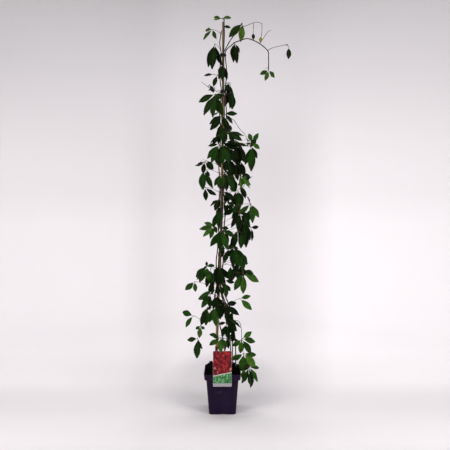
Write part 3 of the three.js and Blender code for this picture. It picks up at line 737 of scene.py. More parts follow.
def leaflet(shape, ribs, hub, own, tint, index):
    """One leaflet: a thin closed blade with teeth, raised between its veins, and a rib under it."""
    length, along = own["length"], own["along"]
    aside = min(max((hub[0] - at_height(CANE_AXIS, hub[2])[0]) / 60, -1), 1)
    roll = radians(either_way(index, 58, MOST_LEAFLET_ROLL))
    roll -= radians(ASIDE_ROLL) * aside * own["outward"] * copysign(1, along[2])
    normal = turned(own["normal"], along, roll * min(1.25 - tint, 1))
    across = np.cross(along, normal)
    half = (LEAST_HALF_WIDTH + HALF_WIDTH_SHARE * length) * own["narrow"] * between(index, 59, 1.0, 1.14)
    wave = between(index, 60, 0.5, 1.4)
    phase = between(index, 61, 0, 6.28)
    twist = either_way(index, 62, MOST_TWIST)
    points, notes = [], []
    for face in (1, 0):
        for t, share, reach in ROWS:
            for column in COLUMNS:
                wide = column * share
                edge = abs(column)
                t_here = t + reach * max(edge - 0.5, 0) * 2
                bulge = sin(pi * ((t_here - VEIN_SLANT * edge) * VEINS % 1))
                quilt = QUILT * bulge * min(edge * 3, 1) * (1 - edge**3) * min(share, 1)
                ripple = wave * edge**2 * share * sin(RIPPLES * t + phase + (2 if column > 0 else 0))
                rise = FOLD * abs(wide) * half - own["curl"] * length * t_here**2
                rise += quilt + ripple + twist * wide * half * t
                rise += (HALF_THICK if face else -HALF_THICK) * (1 if edge < 1 else 0.5)
                points.append(hub + along * t_here * length + across * wide * half + normal * rise)
                notes.append((t_here, column, face, tint))
    rows, columns = len(ROWS), len(COLUMNS)
    faces = []
    below = rows * columns
    for r in range(rows - 1):
        for c in range(columns - 1):
            a = r * columns + c
            faces.append((a, a + columns, a + columns + 1, a + 1))
            faces.append((below + a, below + a + 1, below + a + columns + 1, below + a + columns))
        for a, b in ((r * columns, (r + 1) * columns), ((r + 1) * columns - 1, (r + 2) * columns - 1)):
            faces.append((a, below + a, below + b, b) if a % columns == 0 else (a, b, below + b, below + a))
    for c in range(columns - 1):
        last = (rows - 1) * columns + c
        faces.append((c, c + 1, below + c + 1, below + c))
        faces.append((last, below + last, below + last + 1, last + 1))
    shape.add(points, faces, notes)
    path = []
    for t in RIB_PLACES:
        sink = -0.15 - 0.3 * min(t / 0.16, 1)
        path.append(hub + along * t * length + normal * (sink - own["curl"] * length * t * t))
    ribs.tube(path, RIB_RADII, 5, 1 if draw(index, 63) < 0.4 else 2, draw(index, 64))


# Stalks in mm: the radius at the root, how fast it thins, along it, at the hub and just below that
PATH_STEP = 5
STALK_ROOT = 1.75
STALK_TAPER = 0.28
STALK_RADIUS = 0.85
STALK_HUB = 1.5
STALK_BELOW_HUB = 1.15


def leaf(shape, stems, row, index, tone_and_painted_light, routes, roots):
    """A leaf's blades, ribs and stalk. Its stalk's root is added to the roots."""
    x, y, z, length, headings, *rest = row
    shares = rest[0] if rest else None
    hub = vec(x, y, z)
    count = len(headings)
    spread = (headings[-1] - headings[0]) / max(count - 1, 1)
    middle = radians((headings[-1] + headings[0]) / 2)
    outward = 1 if y > BACK_FROM else -1
    lean = radians(either_way(index, 1, MOST_LEAN))
    along = vec(sin(middle) * cos(lean), outward * sin(lean), cos(middle) * cos(lean))
    facing = vec(0, outward * FACING_OUT, FACING_UP)
    facing = unit(facing - along * (facing @ along))
    facing = turned(facing, along, radians(either_way(index, 2, MOST_ROLL)))
    curl = between(index, 3, CURL_LEAST, CURL_MOST)
    front = (count - 1) // 2
    narrow = 0.86 if count > 1 and spread < 40 else 1.0
    for k, heading in enumerate(headings if outward < 0 else headings[::-1]):
        aside = abs(k - front)
        rank = 2 * aside - (1 if k > front else 0) if spread < CROWDED else aside
        fall = radians(LAYER) * rank
        out = turned(along, facing, (radians(heading) - middle) * outward)
        step = k - (count - 1) / 2
        share = shares[k if outward < 0 else count - 1 - k] if shares else 1 - SHORTER_OUTWARD * step * step
        own = {
            "along": out * cos(fall) - facing * sin(fall),
            "normal": facing * cos(fall) + out * sin(fall),
            "length": length * share * between(index, 30 + k, 0.96, 1.03),
            "curl": curl,
            "narrow": narrow,
            "outward": outward,
        }
        # Leaflets that lie behind others get painted shade: darker by 0.06 a rank
        tint = min(max(tone_and_painted_light + between(index, 70 + k, -0.1, 0.1) - 0.06 * rank, 0), 1)
        leaflet(shape, stems, hub, own, tint, index * 7 + k)
    root = root_on(routes, hub, STALK_SLOPE)
    roots.append(root)
    arch = root + (hub - root) * 0.55
    arch[2] += STALK_ARCH * norm(hub - root)
    path = smooth_path([root, arch, hub], PATH_STEP)
    radii = [max(STALK_ROOT - STALK_TAPER * i, STALK_RADIUS) for i in range(len(path))]
    radii[-1] = STALK_HUB
    if len(radii) > 2:
        radii[-2] = STALK_BELOW_HUB
    stems.tube(path, radii, 7, 1, draw(index, 65))


def leaf_tint(row, index):
    """How light a leaf is where PAINTED_LEAF_LIGHT doesn't say: small, young leaves are a little lighter."""
    x, y, z, length, *_ = row
    young = min(max((60 - length) / 30, 0), 1)
    return between(index, 66, 0.08, 0.42) + 0.12 * young - (0.08 if y > BACK_FROM else 0)


# Tendrils in mm, with the coil's start and length as shares of the whole and its angle in radians
TENDRIL_STEPS = 25
TENDRIL_RADIUS = 0.5
COIL_FROM = 0.55
COIL_LENGTH = 0.45
COIL_RADIUS = 2.6
COIL_TURN = 15
DROOP = 7


def tendril(stems, start, index):
    """A thin branched tendril that ends in coils."""
    turn = between(index, 80, 0, 2 * pi)
    out = vec(cos(turn), sin(turn), between(index, 81, -0.5, 0.7))
    reach = between(index, 82, 16, 34)
    for branch in range(2):
        direction = unit(out + vec(0.5 * (branch - 0.5), 0.4 * (0.5 - branch), 0.5 * branch))
        side = unit(np.cross(direction, vec(0, 0, 1)))
        up = np.cross(side, direction)
        path = []
        for k in range(TENDRIL_STEPS + 1):
            t = k / TENDRIL_STEPS
            coil = max(t - COIL_FROM, 0) / COIL_LENGTH
            radius = COIL_RADIUS * coil
            angle = COIL_TURN * coil
            droop = vec(0, 0, -DROOP * t * t)
            sway = side * radius * cos(angle) + up * radius * sin(angle)
            path.append(start + direction * reach * t * (1 - 0.25 * coil) + sway + droop)
        radii = [TENDRIL_RADIUS - 0.25 * k / TENDRIL_STEPS for k in range(TENDRIL_STEPS + 1)]
        stems.tube(path, radii, 5, 2, draw(index, 83))


KNOT = 0.55
KNOT_WIDTH = 3.4
KNOT_REACH = 9


def swollen(path, radii, roots):
    """The radii with a knot where each stalk grows out."""
    made = list(radii)
    for root in roots:
        for i, point in enumerate(path):
            away = norm(point - root)
            if away < KNOT_REACH:
                made[i] += KNOT * exp(-((away / KNOT_WIDTH) ** 2))
    return made


# Stem radii at the foot and the tip, and where tendrils grow
MAIN_RADII = (3.1, 2.2)
SHOOT_RADII = (1.4, 0.95)
TENDRIL_SHARE = 0.45
TENDRILS_BELOW = 1650


def vine_pieces(name, vine, first_draw):
    blades, stems = Shape(), Shape()
    main = stem_path(vine)
    routes = [main]
    for points in vine["shoots"]:
        routes.append([root_on(routes, vec(*points[0]), 0), *vecs(points[1:])])
    roots = []
    hubs = [[vec(*row[:3])] * 2 for row in vine["leaves"]]
    light = PAINTED_LEAF_LIGHT[name]
    for i, row in enumerate(vine["leaves"] + FULLER[name]):
        near = routes if i < len(vine["leaves"]) else routes + hubs
        # Each leaf's painted light and shade from the table, else its own tone
        tone_and_painted_light = light.get(i) or leaf_tint(row, first_draw + i)
        leaf(blades, stems, row, first_draw + i, tone_and_painted_light, near, roots)
    for r, route in enumerate(routes):
        path = smooth_path(route, PATH_STEP)
        low, high = SHOOT_RADII if r else MAIN_RADII
        radii = [low + (high - low) * i / (len(path) - 1) for i in range(len(path))]
        radii = [q * (1 + 0.06 * sin(i * 0.9 + first_draw)) for i, q in enumerate(radii)]
        stems.tube(path, swollen(path, radii, roots), 9, 0.35 if r else 0, draw(first_draw + r, 84))
    for i, root in enumerate(roots):
        if draw(first_draw + i, 85) < TENDRIL_SHARE and root[2] < TENDRILS_BELOW:
            tendril(stems, root, first_draw + i)
    blades.object("leaves_" + name, LEAF, "vine_" + name, "foliage", 55)
    stems.object("stems_" + name, STEM, "vine_" + name, "foliage", 60)


# The cane: a slightly flattened tube with a ridge and a dark ring at each node, hollow at the top
CANE_SIDES = 28
RIDGE_PLACES = (-6, -3.5, -2, -0.8, 0, 0.8, 1.6, 2.4, 4, 7)
RIDGE = 0.95
GROOVE = 0.45
FLATNESS = 0.12
HOLLOW = ((2.1, 0), (2.0, 9))


def cane():
    shape = Shape()
    stops = [CANE_BASE, CANE_BASE + 1]
    for low, high in zip([CANE_BASE, *CANE_NODES], [*CANE_NODES, CANE_TOP]):
        stops += [low + (high - low) * k / 12 for k in range(1, 12)]
    for z in CANE_NODES:
        stops += [z + d for d in RIDGE_PLACES]
    stops = sorted({*stops, CANE_TOP - 0.8, CANE_TOP})
    rings, notes = [], []
    for z in stops:
        away = min((z - node for node in CANE_NODES), key=abs)
        taper = (CANE_RADIUS_HIGH - CANE_RADIUS_LOW) * (z - CANE_BASE) / (CANE_TOP - CANE_BASE)
        ridge = RIDGE * exp(-((away / 1.6) ** 2)) - GROOVE * exp(-(((away - 4) / 1.8) ** 2))
        edge = 0.6 if z in (CANE_BASE, CANE_TOP) else 0
        middle = at_height(CANE_AXIS, z)
        ring = []
        for k in range(CANE_SIDES):
            turn = 2 * pi * k / CANE_SIDES
            flat = FLATNESS * cos(2 * turn + z * 0.004)
            ring.append(middle + round_z(CANE_RADIUS_LOW + taper + ridge - edge + flat, turn))
            dark = exp(-((away / 2.2) ** 2)) + 0.5 * exp(-(((away - 5) / 6) ** 2))
            notes.append((z, k / CANE_SIDES, min(dark, 1), 0))
        rings.append(ring)
    # The hollow top; its inside takes a dark note, painted shade in the hollow
    for inner, depth in HOLLOW:
        middle = at_height(CANE_AXIS, CANE_TOP - depth)
        rings.append([middle + round_z(inner, 2 * pi * k / CANE_SIDES) for k in range(CANE_SIDES)])
        notes += [(CANE_TOP, 0, 0.9, 0)] * CANE_SIDES
    shape.rings(rings, notes)
    shape.object("bamboo_cane", CANE, "cane", "bamboo", 40)


# The ties: soft bands with a small buckle and a cut tail. The solids are bands of TIE_SIDES sides.
TIE_SIDES = 10
TIE_STEPS = 40
BUCKLE_WIDE = 3.4
BUCKLE_TALL = 4.6
BUCKLE_RINGS = ((0, 0.7), (0.5, 1), (2.2, 1), (2.8, 0.75))
TAIL = ((-2, 0, 0), (-5, 0.2, 0.3), (-9, 1.4, 1.0), (-12, 3.6, 2.0), (-14, 6, 3.2))
TAIL_RADII = [1.5, 1.4, 1.3, 1.3, 1.0]


def tie(number, z):
    shape = Shape()
    middle = at_height(CANE_AXIS, z)
    inner = (STEM_OFFSET + STEM_RADIUS + 0.6) / cos(pi / TIE_SIDES) + 0.15
    outer = inner + TIE_WALL - 0.2
    half = TIE_LENGTH / 2
    profile = [
        *((inner, -half + 0.6), (inner + 0.5, -half), (outer - 0.5, -half), (outer, -half + 0.6)),
        *((outer - 0.25, 0), (outer, half - 0.6), (outer - 0.5, half), (inner + 0.5, half)),
        *((inner, half - 0.6), (inner + 0.1, 0)),
    ]
    sides, steps = len(profile), TIE_STEPS
    points = []
    for k in range(steps):
        turn = 2 * pi * k / steps
        tilt = 0.5 * sin(turn + number)
        for radius, height in profile:
            points.append(middle + round_z(radius, turn, height + tilt))
    faces = []
    for k in range(steps):
        for i in range(sides):
            a, b = k * sides + i, k * sides + (i + 1) % sides
            c, d = (a + sides) % (steps * sides), (b + sides) % (steps * sides)
            faces.append((a, c, d, b))
    shape.add(points, faces, [(0, 0, 0, 0)] * len(points))
    turn = radians(between(number, 90, -150, -40))
    out = round_z(1, turn)
    side = vec(-sin(turn), cos(turn), 0)
    rings = []
    for reach, grow in BUCKLE_RINGS:
        ring = []
        for k in range(16):
            angle = 2 * pi * k / 16
            c, s = cos(angle), sin(angle)
            wide = BUCKLE_WIDE * grow * copysign(abs(c) ** 0.5, c)
            tall = BUCKLE_TALL * grow * copysign(abs(s) ** 0.5, s)
            ring.append(middle + out * (outer - 0.4 + reach) + side * wide + vec(0, 0, tall))
        rings.append(ring)
    shape.rings(rings)
    tail = [middle + out * (outer + 1) + side * d + out * lift + vec(0, 0, rise) for d, lift, rise in TAIL]
    shape.tube(tail, TAIL_RADII, 8, 0, 0)
    shape.object(f"tie_band_{number}", TIE, f"tie_{number}", "tie_plastic", 40)


# The pot
def square_ring(half, corner, z, steps=8):
    ring = []
    for quarter in range(4):
        start = quarter * pi / 2
        cx = (half - corner) * copysign(1, cos(start + pi / 4))
        cy = (half - corner) * copysign(1, sin(start + pi / 4))
        for k in range(steps + 1):
            turn = start + k / steps * pi / 2
            ring.append(vec(cx + corner * cos(turn), cy + corner * sin(turn), z))
    return ring


def cut(piece, cutters):
    """Takes the cutters' solids out of a piece's mesh."""
    for cutter in cutters:
        modifier = piece.modifiers.new("cut", "BOOLEAN")
        modifier.operation = "DIFFERENCE"
        modifier.solver = "EXACT"
        modifier.object = cutter
    bpy.context.view_layer.update()
    shaped = bpy.data.meshes.new_from_object(piece.evaluated_get(bpy.context.evaluated_depsgraph_get()))
    piece.modifiers.clear()
    piece.data = shaped
    shaped.set_sharp_from_angle(angle=radians(35))
    for cutter in cutters:
        bpy.data.objects.remove(cutter)


def cylinder(place, radius, depth, turn=(0, 0, 0), squeeze=1.0):
    """A cutter for the pot's drain holes and arches."""
    bm = bmesh.new()
    size = radius * MM
    bmesh.ops.create_cone(bm, cap_ends=True, segments=24, radius1=size, radius2=size, depth=depth * MM)
    mesh = bpy.data.meshes.new("cutter")
    bm.to_mesh(mesh)
    bm.free()
    made = placed("cutter", mesh)
    made.location = Vector(place) * MM
    made.rotation_euler = turn
    made.scale = (1, squeeze, 1)
    return made


def pot():
    shape = Shape()
    band = POT_HEIGHT - BAND_HEIGHT
    base, body, rim = BASE_WIDTH / 2, BODY_TOP_WIDTH / 2, RIM_WIDTH / 2

    def wall(z):
        return base + (body - base) * (z - 1.5) / (band - 2.5)

    # Up the outside, over the rim and down the inside: half the width and the height
    profile = [
        (base - 1.6, 0),
        (base - 0.5, 0.3),
        (base - 0.1, 1.1),
        *((wall(z), z) for z in (2.5, 30, 60, 90, 120, band - 3)),
        (wall(band - 1.4) + 0.3, band - 1.4),
        (body + 1.6, band - 0.5),
        (rim - 3.4, band),
        (rim - 2.6, band + 0.7),
        (rim - 2.35, band + 2),
        (rim - 1.3, band + 12),
        (rim - 0.45, POT_HEIGHT - 5),
        (rim - 0.35, POT_HEIGHT - 4.2),
        (rim + 0.25, POT_HEIGHT - 3.8),
        (rim + 0.3, POT_HEIGHT - 1.2),
        (rim - 0.1, POT_HEIGHT - 0.3),
        (rim - 0.7, POT_HEIGHT),
        (rim - 1.3, POT_HEIGHT - 0.2),
        (rim - WALL, POT_HEIGHT - 1),
        (rim - WALL - 2.4, band + 2),
        (body - WALL, band + 1),
        (base - WALL, FLOOR),
    ]
    shape.rings([square_ring(half, POT_CORNER, z) for half, z in profile])
    piece = shape.object("nursery_pot", POT, "pot", "pot_plastic", 35)
    cutters = []
    for x in (-DRAIN_PITCH, 0, DRAIN_PITCH):
        for y in (-DRAIN_PITCH, 0, DRAIN_PITCH):
            if x or y:
                cutters.append(cylinder((x, y, 0), DRAIN_RADIUS, CUT_DEPTH))
    quarter = pi / 2
    for x, y, turn in ((0, -base, 0), (base, 0, quarter), (0, base, 0), (-base, 0, quarter)):
        cutters.append(cylinder((x, y, 0), ARCH_RADIUS, CUT_DEPTH, (quarter, 0, turn), ARCH_SQUEEZE))
    cut(piece, cutters)


# The peat: a lumpy heap with crumbs, chips and a few fibres. HEAP gives its height by how far out it is.
CRUMBS = 2600
BIG_CRUMBS = 320
PALE_SHARE = 0.05
FIBRES = 46
HEAP = [(80.2, 184), (72, 197), (56, 209), (38, 208), (20, 211), (0, 210)]


def heap_height(x, y):
    out = (abs(x) ** 5 + abs(y) ** 5) ** 0.2
    z = np.interp(out, [h[0] for h in HEAP[::-1]], [h[1] for h in HEAP[::-1]])
    fade = min(max((82 - out) / 14, 0.15), 1)
    lump = noise.noise(Vector((x * 0.035, y * 0.035, 3.7))) * 5
    lump += noise.noise(Vector((x * 0.11, y * 0.11, 9.1))) * 2.2
    crumb = noise.noise(Vector((x * 0.4, y * 0.4, 1.3))) * 1.1
    knoll = 12 * exp(-(((x + 60) / 14) ** 2 + ((y - 30) / 22) ** 2))
    return float(z + fade * (lump + crumb) + knoll - 1.2)


def peat():
    shape = Shape()
    base = BASE_WIDTH / 2 - WALL - 0.5
    body = BODY_TOP_WIDTH / 2 - WALL - 0.5
    rim = RIM_WIDTH / 2 - WALL - 3
    band = POT_HEIGHT - BAND_HEIGHT
    steps = 24
    below = ((base, FLOOR + 0.4), (body, band + 1.2), (rim, band + 3))
    rings = [square_ring(half, POT_CORNER, z, steps) for half, z in below]
    for share in np.linspace(1, 0.02, 44):
        half = rim * share
        ring = square_ring(half, min(POT_CORNER, half * 0.6), 0, steps)
        for point in ring:
            point[2] = heap_height(point[0], point[1])
            if abs(point[0]) < STRAP_WIDTH / 2 + 1 and point[1] < STRAP_INNER + CARD_THICK + 1:
                point[1] = max(point[1], STRAP_INNER + CARD_THICK + 0.6)
        rings.append(ring)
    shape.rings(rings)
    rng = np.random.default_rng(27)
    blocks = [unit_rock(2, 1), unit_rock(1, 2), unit_rock(1, 3)]
    for i in range(CRUMBS):
        x, y = rng.uniform(-78, 78, 2)
        if y < STRAP_INNER + 6 and abs(x) < STRAP_WIDTH / 2 + 4:
            continue
        big = i < BIG_CRUMBS
        size = rng.uniform(1.6, 4.2) if big else rng.uniform(0.6, 1.7)
        if max(abs(x), abs(y)) + size > 79:
            continue
        points, faces = blocks[0] if big else blocks[1 + i % 2]
        turn = random_turn(rng)
        squash = vec(1, rng.uniform(0.6, 1), rng.uniform(0.45, 0.9))
        place = vec(x, y, heap_height(x, y) + size * 0.25)
        chip = 0.75 if rng.random() < PALE_SHARE else rng.uniform(0, 0.22)
        moved = (points * squash * size) @ turn.T + place
        shape.add(moved, faces, [(0, 0, 0, chip)] * len(moved))
    for i in range(FIBRES):
        x, y = rng.uniform(-66, 66, 2)
        angle = rng.uniform(0, pi)
        length = rng.uniform(6, 18)
        path = []
        for k in range(6):
            t = k / 5 - 0.5
            px = x + length * t * cos(angle) + 2 * sin(5 * t + i)
            py = y + length * t * sin(angle)
            path.append(vec(px, py, heap_height(px, py) + 1.0))
        shape.tube(path, [0.35] * 6, 5, 0, 0.9)
    shape.object("peat_heap", PEAT, "soil", "peat", 70)


def unit_rock(level, seed):
    """A small angular block about 2 across."""
    bm = bmesh.new()
    bmesh.ops.create_icosphere(bm, subdivisions=level, radius=1)
    points = []
    for v in bm.verts:
        grow = 1 + 0.55 * noise.noise(v.co * 1.7 + Vector((seed * 5.0, 0, 0)))
        points.append(np.array(v.co) * grow)
    faces = [tuple(v.index for v in f.verts) for f in bm.faces]
    bm.free()
    return np.array(points), faces


def random_turn(rng):
    q = unit(rng.normal(size=4))
    w, x, y, z = q
    return np.array([
        [1 - 2 * (y * y + z * z), 2 * (x * y - w * z), 2 * (x * z + w * y)],
        [2 * (x * y + w * z), 1 - 2 * (x * x + z * z), 2 * (y * z - w * x)],
        [2 * (x * z - w * y), 2 * (y * z + w * x), 1 - 2 * (x * x + y * y)],
    ])


# The label: a card with plain printed fields, on a strap over the rim
def plate(shape, outline, front, thick, kind, tint, bevel=0.0):
    """A flat plate in the label's plane, from (x, z) points counter-clockwise as seen from the front."""
    middle = vec(*[sum(p[i] for p in outline) / len(outline) for i in (0, 1)])
    rings = []
    for depth, inset in ((thick, 0), (bevel, 0), (0, bevel)):
        ring = []
        for x, z in outline:
            out = unit(vec(x, z) - middle) * inset if inset else vec(0, 0)
            ring.append(vec(x - out[0], front + depth, z - out[1]))
        rings.append(ring)
    notes = [(0, 0, BARE if bevel and r < 2 else kind, tint) for r in range(3) for _ in outline]
    shape.rings(rings, notes)


def round_box(x0, x1, z0, z1, corner):
    points = []
    low, high, left, right = z0 + corner, z1 - corner, x0 + corner, x1 - corner
    for cx, cz, start in ((right, high, 0), (left, high, 90), (left, low, 180), (right, low, 270)):
        for k in range(7):
            turn = radians(start + 15 * k)
            points.append((cx + corner * cos(turn), cz + corner * sin(turn)))
    return points


def small_leaf(x, z, length, angle, wide):
    """A plain pointed oval."""
    c, s = cos(angle), sin(angle)
    points = []
    for k in range(12):
        turn = 2 * pi * k / 12
        a = 0.5 * length * cos(turn)
        b = 0.5 * length * wide * sin(turn) * (1 - 0.35 * cos(turn))
        points.append((x + a * c - b * s, z + a * s + b * c))
    return points


INK = 0.08
BORDER_HEIGHT = 57
BORDER_SLOPE = 0.2
FOOT_HEIGHT = 15
CRIMSON_OVALS = 330
GREEN_OVALS = 110
PINK_EVERY = 23


def border(x):
    """The height of the straight slanting line between the card's upper and lower fields."""
    return CARD_BOTTOM + BORDER_HEIGHT + BORDER_SLOPE * x


def label():
    shape = Shape()
    half = CARD_WIDTH / 2
    front = CARD_BACK - CARD_THICK
    card = round_box(-half, half, CARD_BOTTOM, CARD_TOP, CARD_CORNER)
    plate(shape, card, front, CARD_THICK, BARE, 0.5, 0.15)
    tab = round_box(TAB_LEFT, TAB_RIGHT, CARD_TOP - 3, CARD_TOP + TAB_HEIGHT, 2)
    plate(shape, tab, front + 0.1, CARD_THICK - 0.2, CRIMSON, 0.12)

    # The printed fields, each a little in front of the last
    edge = half - 0.5
    foot, field, top = CARD_BOTTOM + 0.5, CARD_BOTTOM + FOOT_HEIGHT, CARD_TOP - 0.5
    left, right = border(-edge), border(edge)
    plate(shape, round_box(-edge, edge, foot, field + 4, CARD_CORNER), front - INK, 0.1, GREY, 0.3)
    green = [(-edge, field), (edge, field), (edge, right), (-edge, left)]
    plate(shape, green, front - 2 * INK, 0.1, GREEN, 0.12)
    corners = [(edge, top - 3), (edge - 3, top), (-edge + 3, top), (-edge, top - 3)]
    plate(shape, [(-edge, left), (edge, right), *corners], front - 3 * INK, 0.1, CRIMSON, 0.2)
    for low, high in ((-1.0, 1.0), (-4.4, -3.4)):
        rule = [(-edge, left + low), (edge, right + low), (edge, right + high), (-edge, left + high)]
        plate(shape, rule, front - 4 * INK, 0.1, PALE, 0.4)

    # Plain ovals in the two fields, where they keep clear of the border
    rng = np.random.default_rng(11)
    for i in range(CRIMSON_OVALS):
        length = rng.uniform(8, 20)
        x, z, angle = rng.uniform(-edge, edge), rng.uniform(left, top), rng.uniform(0, 6.28)
        oval = small_leaf(x, z, length, angle, rng.uniform(0.34, 0.5))
        if all(abs(x) < edge and border(x) + 2.5 < z < top for x, z in oval):
            kind = CRIMSON if i % PINK_EVERY else PINK
            tint = rng.uniform(0, 1) ** (1.6 if kind == CRIMSON else 1)
            plate(shape, oval, front - (5 + 0.02 * i) * INK, 0.05, kind, tint)
    for i in range(GREEN_OVALS):
        length = rng.uniform(5, 11)
        x, z, angle = rng.uniform(-edge, edge), rng.uniform(field, right), rng.uniform(0, 6.28)
        oval = small_leaf(x, z, length, angle, 0.5)
        if all(abs(x) < edge and field + 1 < z < border(x) - 5.5 for x, z in oval):
            plate(shape, oval, front - (3 + 0.02 * i) * INK, 0.05, GREEN, rng.uniform(0.0, 1.0) ** 1.4)

    # The strap: over the rim, then down inside
    strap_half = STRAP_WIDTH / 2
    rise = POT_HEIGHT + 0.4
    crest, outer, inner = rise + CARD_THICK, CARD_BACK - 0.4, STRAP_INNER + CARD_THICK
    over = [(outer, rise), (inner, rise), (inner, crest), (outer, crest)]
    down = [(STRAP_INNER, STRAP_END), (inner, STRAP_END), (inner, crest), (STRAP_INNER, crest)]
    for outline in (over, down):
        rings = [[vec(x, y, z) for y, z in outline] for x in (-strap_half, strap_half)]
        shape.rings(rings, [(0, 0, BARE, 0.5)] * 8)
    shape.object("label_card", PRINT, "label", "card", 30)


# The stage: a pale bowl round the plant, soft lights and the camera. Its sizes are in metres. Its painted
# shade goes by height, by depth, by distance from the pot, and by the angle round the bowl below and above.
COVE_START = 2.0
COVE_RADIUS = 1.2
COVE_TOP = 5.2
COVE_SIDES = 96
COVE_SPREAD = 2.2
COVE_DARK = (0.908, 0.884, 0.896)
COVE_LIGHT = (0.938, 0.916, 0.928)
COVE_SHADE_BY_HEIGHT = [
    *((0, 0.94), (0.4, 0.91), (0.87, 0.885), (1.5, 0.775), (2.1, 0.65), (2.55, 0.56), (3.0, 0.49)),
    (3.4, 0.44),
]
COVE_SHADE_BY_DEPTH = [
    *((-1.2, 0.75), (-0.35, 1), (-0.17, 0.92), (0, 0.84), (0.1, 0.825), (0.19, 0.83), (0.4, 0.93)),
    (1, 0.98),
]
COVE_SHADOW_BY_POT = [(0.0, 0.74), (0.6, 0.8), (1.0, 0.97), (1.5, 1.0)]
COVE_SHADE_BY_SIDE = [
    *((-0.46, 0.94), (-0.35, 0.92), (-0.22, 0.88), (-0.158, 0.79), (-0.095, 0.855), (0.0, 0.83)),
    *((0.1, 0.8), (0.15, 0.835), (0.24, 1.0), (0.46, 1.0)),
]
COVE_SHADE_BY_SIDE_ABOVE = [
    *((-0.46, 0.87), (-0.243, 0.88), (-0.158, 0.87), (-0.095, 0.95), (0.0, 0.96)),
    *((0.1, 0.94), (0.158, 0.92), (0.243, 0.95), (0.46, 0.955)),
]


def cove():
    profile = [(0.02, 0.0), (0.4, 0.0), (0.9, 0.0), (1.4, 0.0)]
    for k in range(25):
        turn = pi / 2 * k / 24
        profile.append((COVE_START + COVE_RADIUS * sin(turn), COVE_RADIUS * (1 - cos(turn))))
    profile.append((COVE_START + COVE_RADIUS, COVE_TOP))
    sides = COVE_SIDES
    points, faces = [], []
    for radius, z in profile:
        for k in range(sides):
            turn = 2 * pi * k / sides
            points.append((radius * cos(turn), radius * sin(turn), z))
    for r in range(len(profile) - 1):
        for k in range(sides):
            a, b = r * sides + k, r * sides + (k + 1) % sides
            faces.append((a, a + sides, b + sides, b))
    faces.append(tuple(range(sides)))
    mesh = bpy.data.meshes.new("cove")
    mesh.from_pydata(points, [], faces)
    mesh.polygons.foreach_set("use_smooth", [True] * len(mesh.polygons))
    mesh.materials.append(cove_paint())
    placed("cove", mesh)


def cove_paint():
    """Pale paper with painted shade: darker up high, a painted shadow round the pot's foot, and painted
    shade behind and beside the plant.
    """
    paint = Paint("cove", Roughness=0.9, Specular_IOR_Level=0.1)
    x, y, z = paint.node("SeparateXYZ", None, Vector=paint.place).outputs

    def grey(value, low, high, stops):
        share = paint.node("MapRange", None, i0=value, i1=low, i2=high).outputs[0]
        return paint.ramp(share, [((at - low) / (high - low), (level,) * 3) for at, level in stops])

    # Painted shade on the wall, darker toward the top; the bowl's front is a plain darker grey
    wall = paint.mix(paint.fade(y, -1.0, 0.5), (0.85, 0.85, 0.85), grey(z, 0.0, 4.0, COVE_SHADE_BY_HEIGHT))
    # Painted shade on the floor: a darker band behind the pot, and darker toward the front
    ground_shade = grey(y, -1.5, 2.5, COVE_SHADE_BY_DEPTH)
    # Painted light and shade by the angle round the bowl, darkest beside the plant, with other stops up
    # high; it fades out near the front
    spread = paint.calc("DIVIDE", x, paint.calc("MAXIMUM", paint.plus(y, COVE_SPREAD), 0.5))
    above = paint.fade(z, 1.5, 2.6)
    side = grey(spread, -0.5, 0.5, COVE_SHADE_BY_SIDE)
    side = paint.mix(above, side, grey(spread, -0.5, 0.5, COVE_SHADE_BY_SIDE_ABOVE))
    near = paint.fade(y, 0.0, 0.7, 0.75, 0.0)
    side = paint.mix(near, side, (0.98, 0.98, 0.98))
    # A painted shadow round the pot's foot, darkest near the pot
    aside = paint.calc("POWER", paint.size(paint.calc("DIVIDE", x, 0.36)), 2.0)
    behind = paint.calc("POWER", paint.size(paint.calc("DIVIDE", paint.minus(y, 0.45), 0.6)), 2.0)
    hollow = grey(paint.calc("SQRT", paint.plus(aside, behind)), 0.0, 2.0, COVE_SHADOW_BY_POT)
    cloud = paint.noise(0.8, 3.0)
    colour = paint.mix(cloud, COVE_DARK, COVE_LIGHT)
    for shade in (wall, ground_shade, side, hollow):
        colour = paint.mix(1.0, colour, shade, "MULTIPLY")
    return paint.finish(colour)


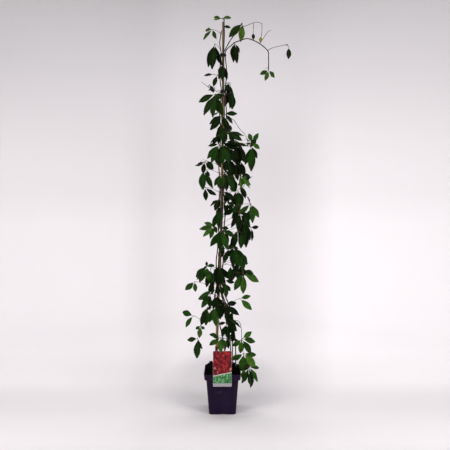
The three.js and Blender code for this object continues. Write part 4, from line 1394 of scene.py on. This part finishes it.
def light(name, place, aim, size, power, colour):
    data = bpy.data.lights.new(name, "AREA")
    data.shape = "RECTANGLE"
    data.size, data.size_y = size
    data.energy = power
    data.color = colour
    made = placed(name, data)
    made.location = place
    made.rotation_euler = (Vector(aim) - Vector(place)).to_track_quat("-Z", "Y").to_euler()
    made.visible_camera = False


# Each light's place, what it points at, its size, its power and its colour
LIGHTS = {
    "key_left": ((-1.9, -1.7, 2.4), (0, 0, 0.8), (1.2, 1.6), 44, (1, 0.98, 0.97)),
    "key_right": ((1.9, -1.6, 2.4), (0.1, 0, 0.8), (1.2, 1.6), 44, (1, 0.98, 0.98)),
    "wall": ((0.0, 0.7, 3.6), (0.0, 3.0, 1.2), (3.0, 1.0), 90, (1, 0.98, 1)),
}
WORLD_COLOUR = (0.97, 0.95, 0.98, 1)
WORLD_STRENGTH = 0.22
EYE = (0.012, -2.245, 0.873)
SENSOR = 36
LENS = 37.92

LEAF = leaf_paint()
STEM = stem_paint()
CANE = cane_paint()
POT = plastic_paint("pot_plastic", (0.0085, 0.003, 0.018), (0.015, 0.006, 0.029), 0.42, 14.0)
TIE = plastic_paint("tie_plastic", (0.006, 0.006, 0.007), (0.016, 0.016, 0.018), 0.45, 60.0)
PEAT = peat_paint()
PRINT = print_paint()

pot()
peat()
cane()
for i, z in enumerate(TIE_HEIGHTS):
    tie(i + 1, z)
label()
for i, (name, vine) in enumerate(VINES.items()):
    vine_pieces(name, vine, FIRST_DRAW * i)

cove()
for name, settings in LIGHTS.items():
    light(name, *settings)
world = bpy.data.worlds.new("world")
bpy.context.scene.world = world
world.use_nodes = True
background = world.node_tree.nodes["Background"]
background.inputs["Color"].default_value = WORLD_COLOUR
background.inputs["Strength"].default_value = WORLD_STRENGTH
bpy.context.scene.view_settings.view_transform = "Standard"

camera = bpy.data.cameras.new("camera")
camera.sensor_width = SENSOR
camera.lens = LENS
eye = placed("camera", camera)
eye.location = EYE
eye.rotation_euler = (pi / 2, 0, 0)
bpy.context.scene.camera = eye
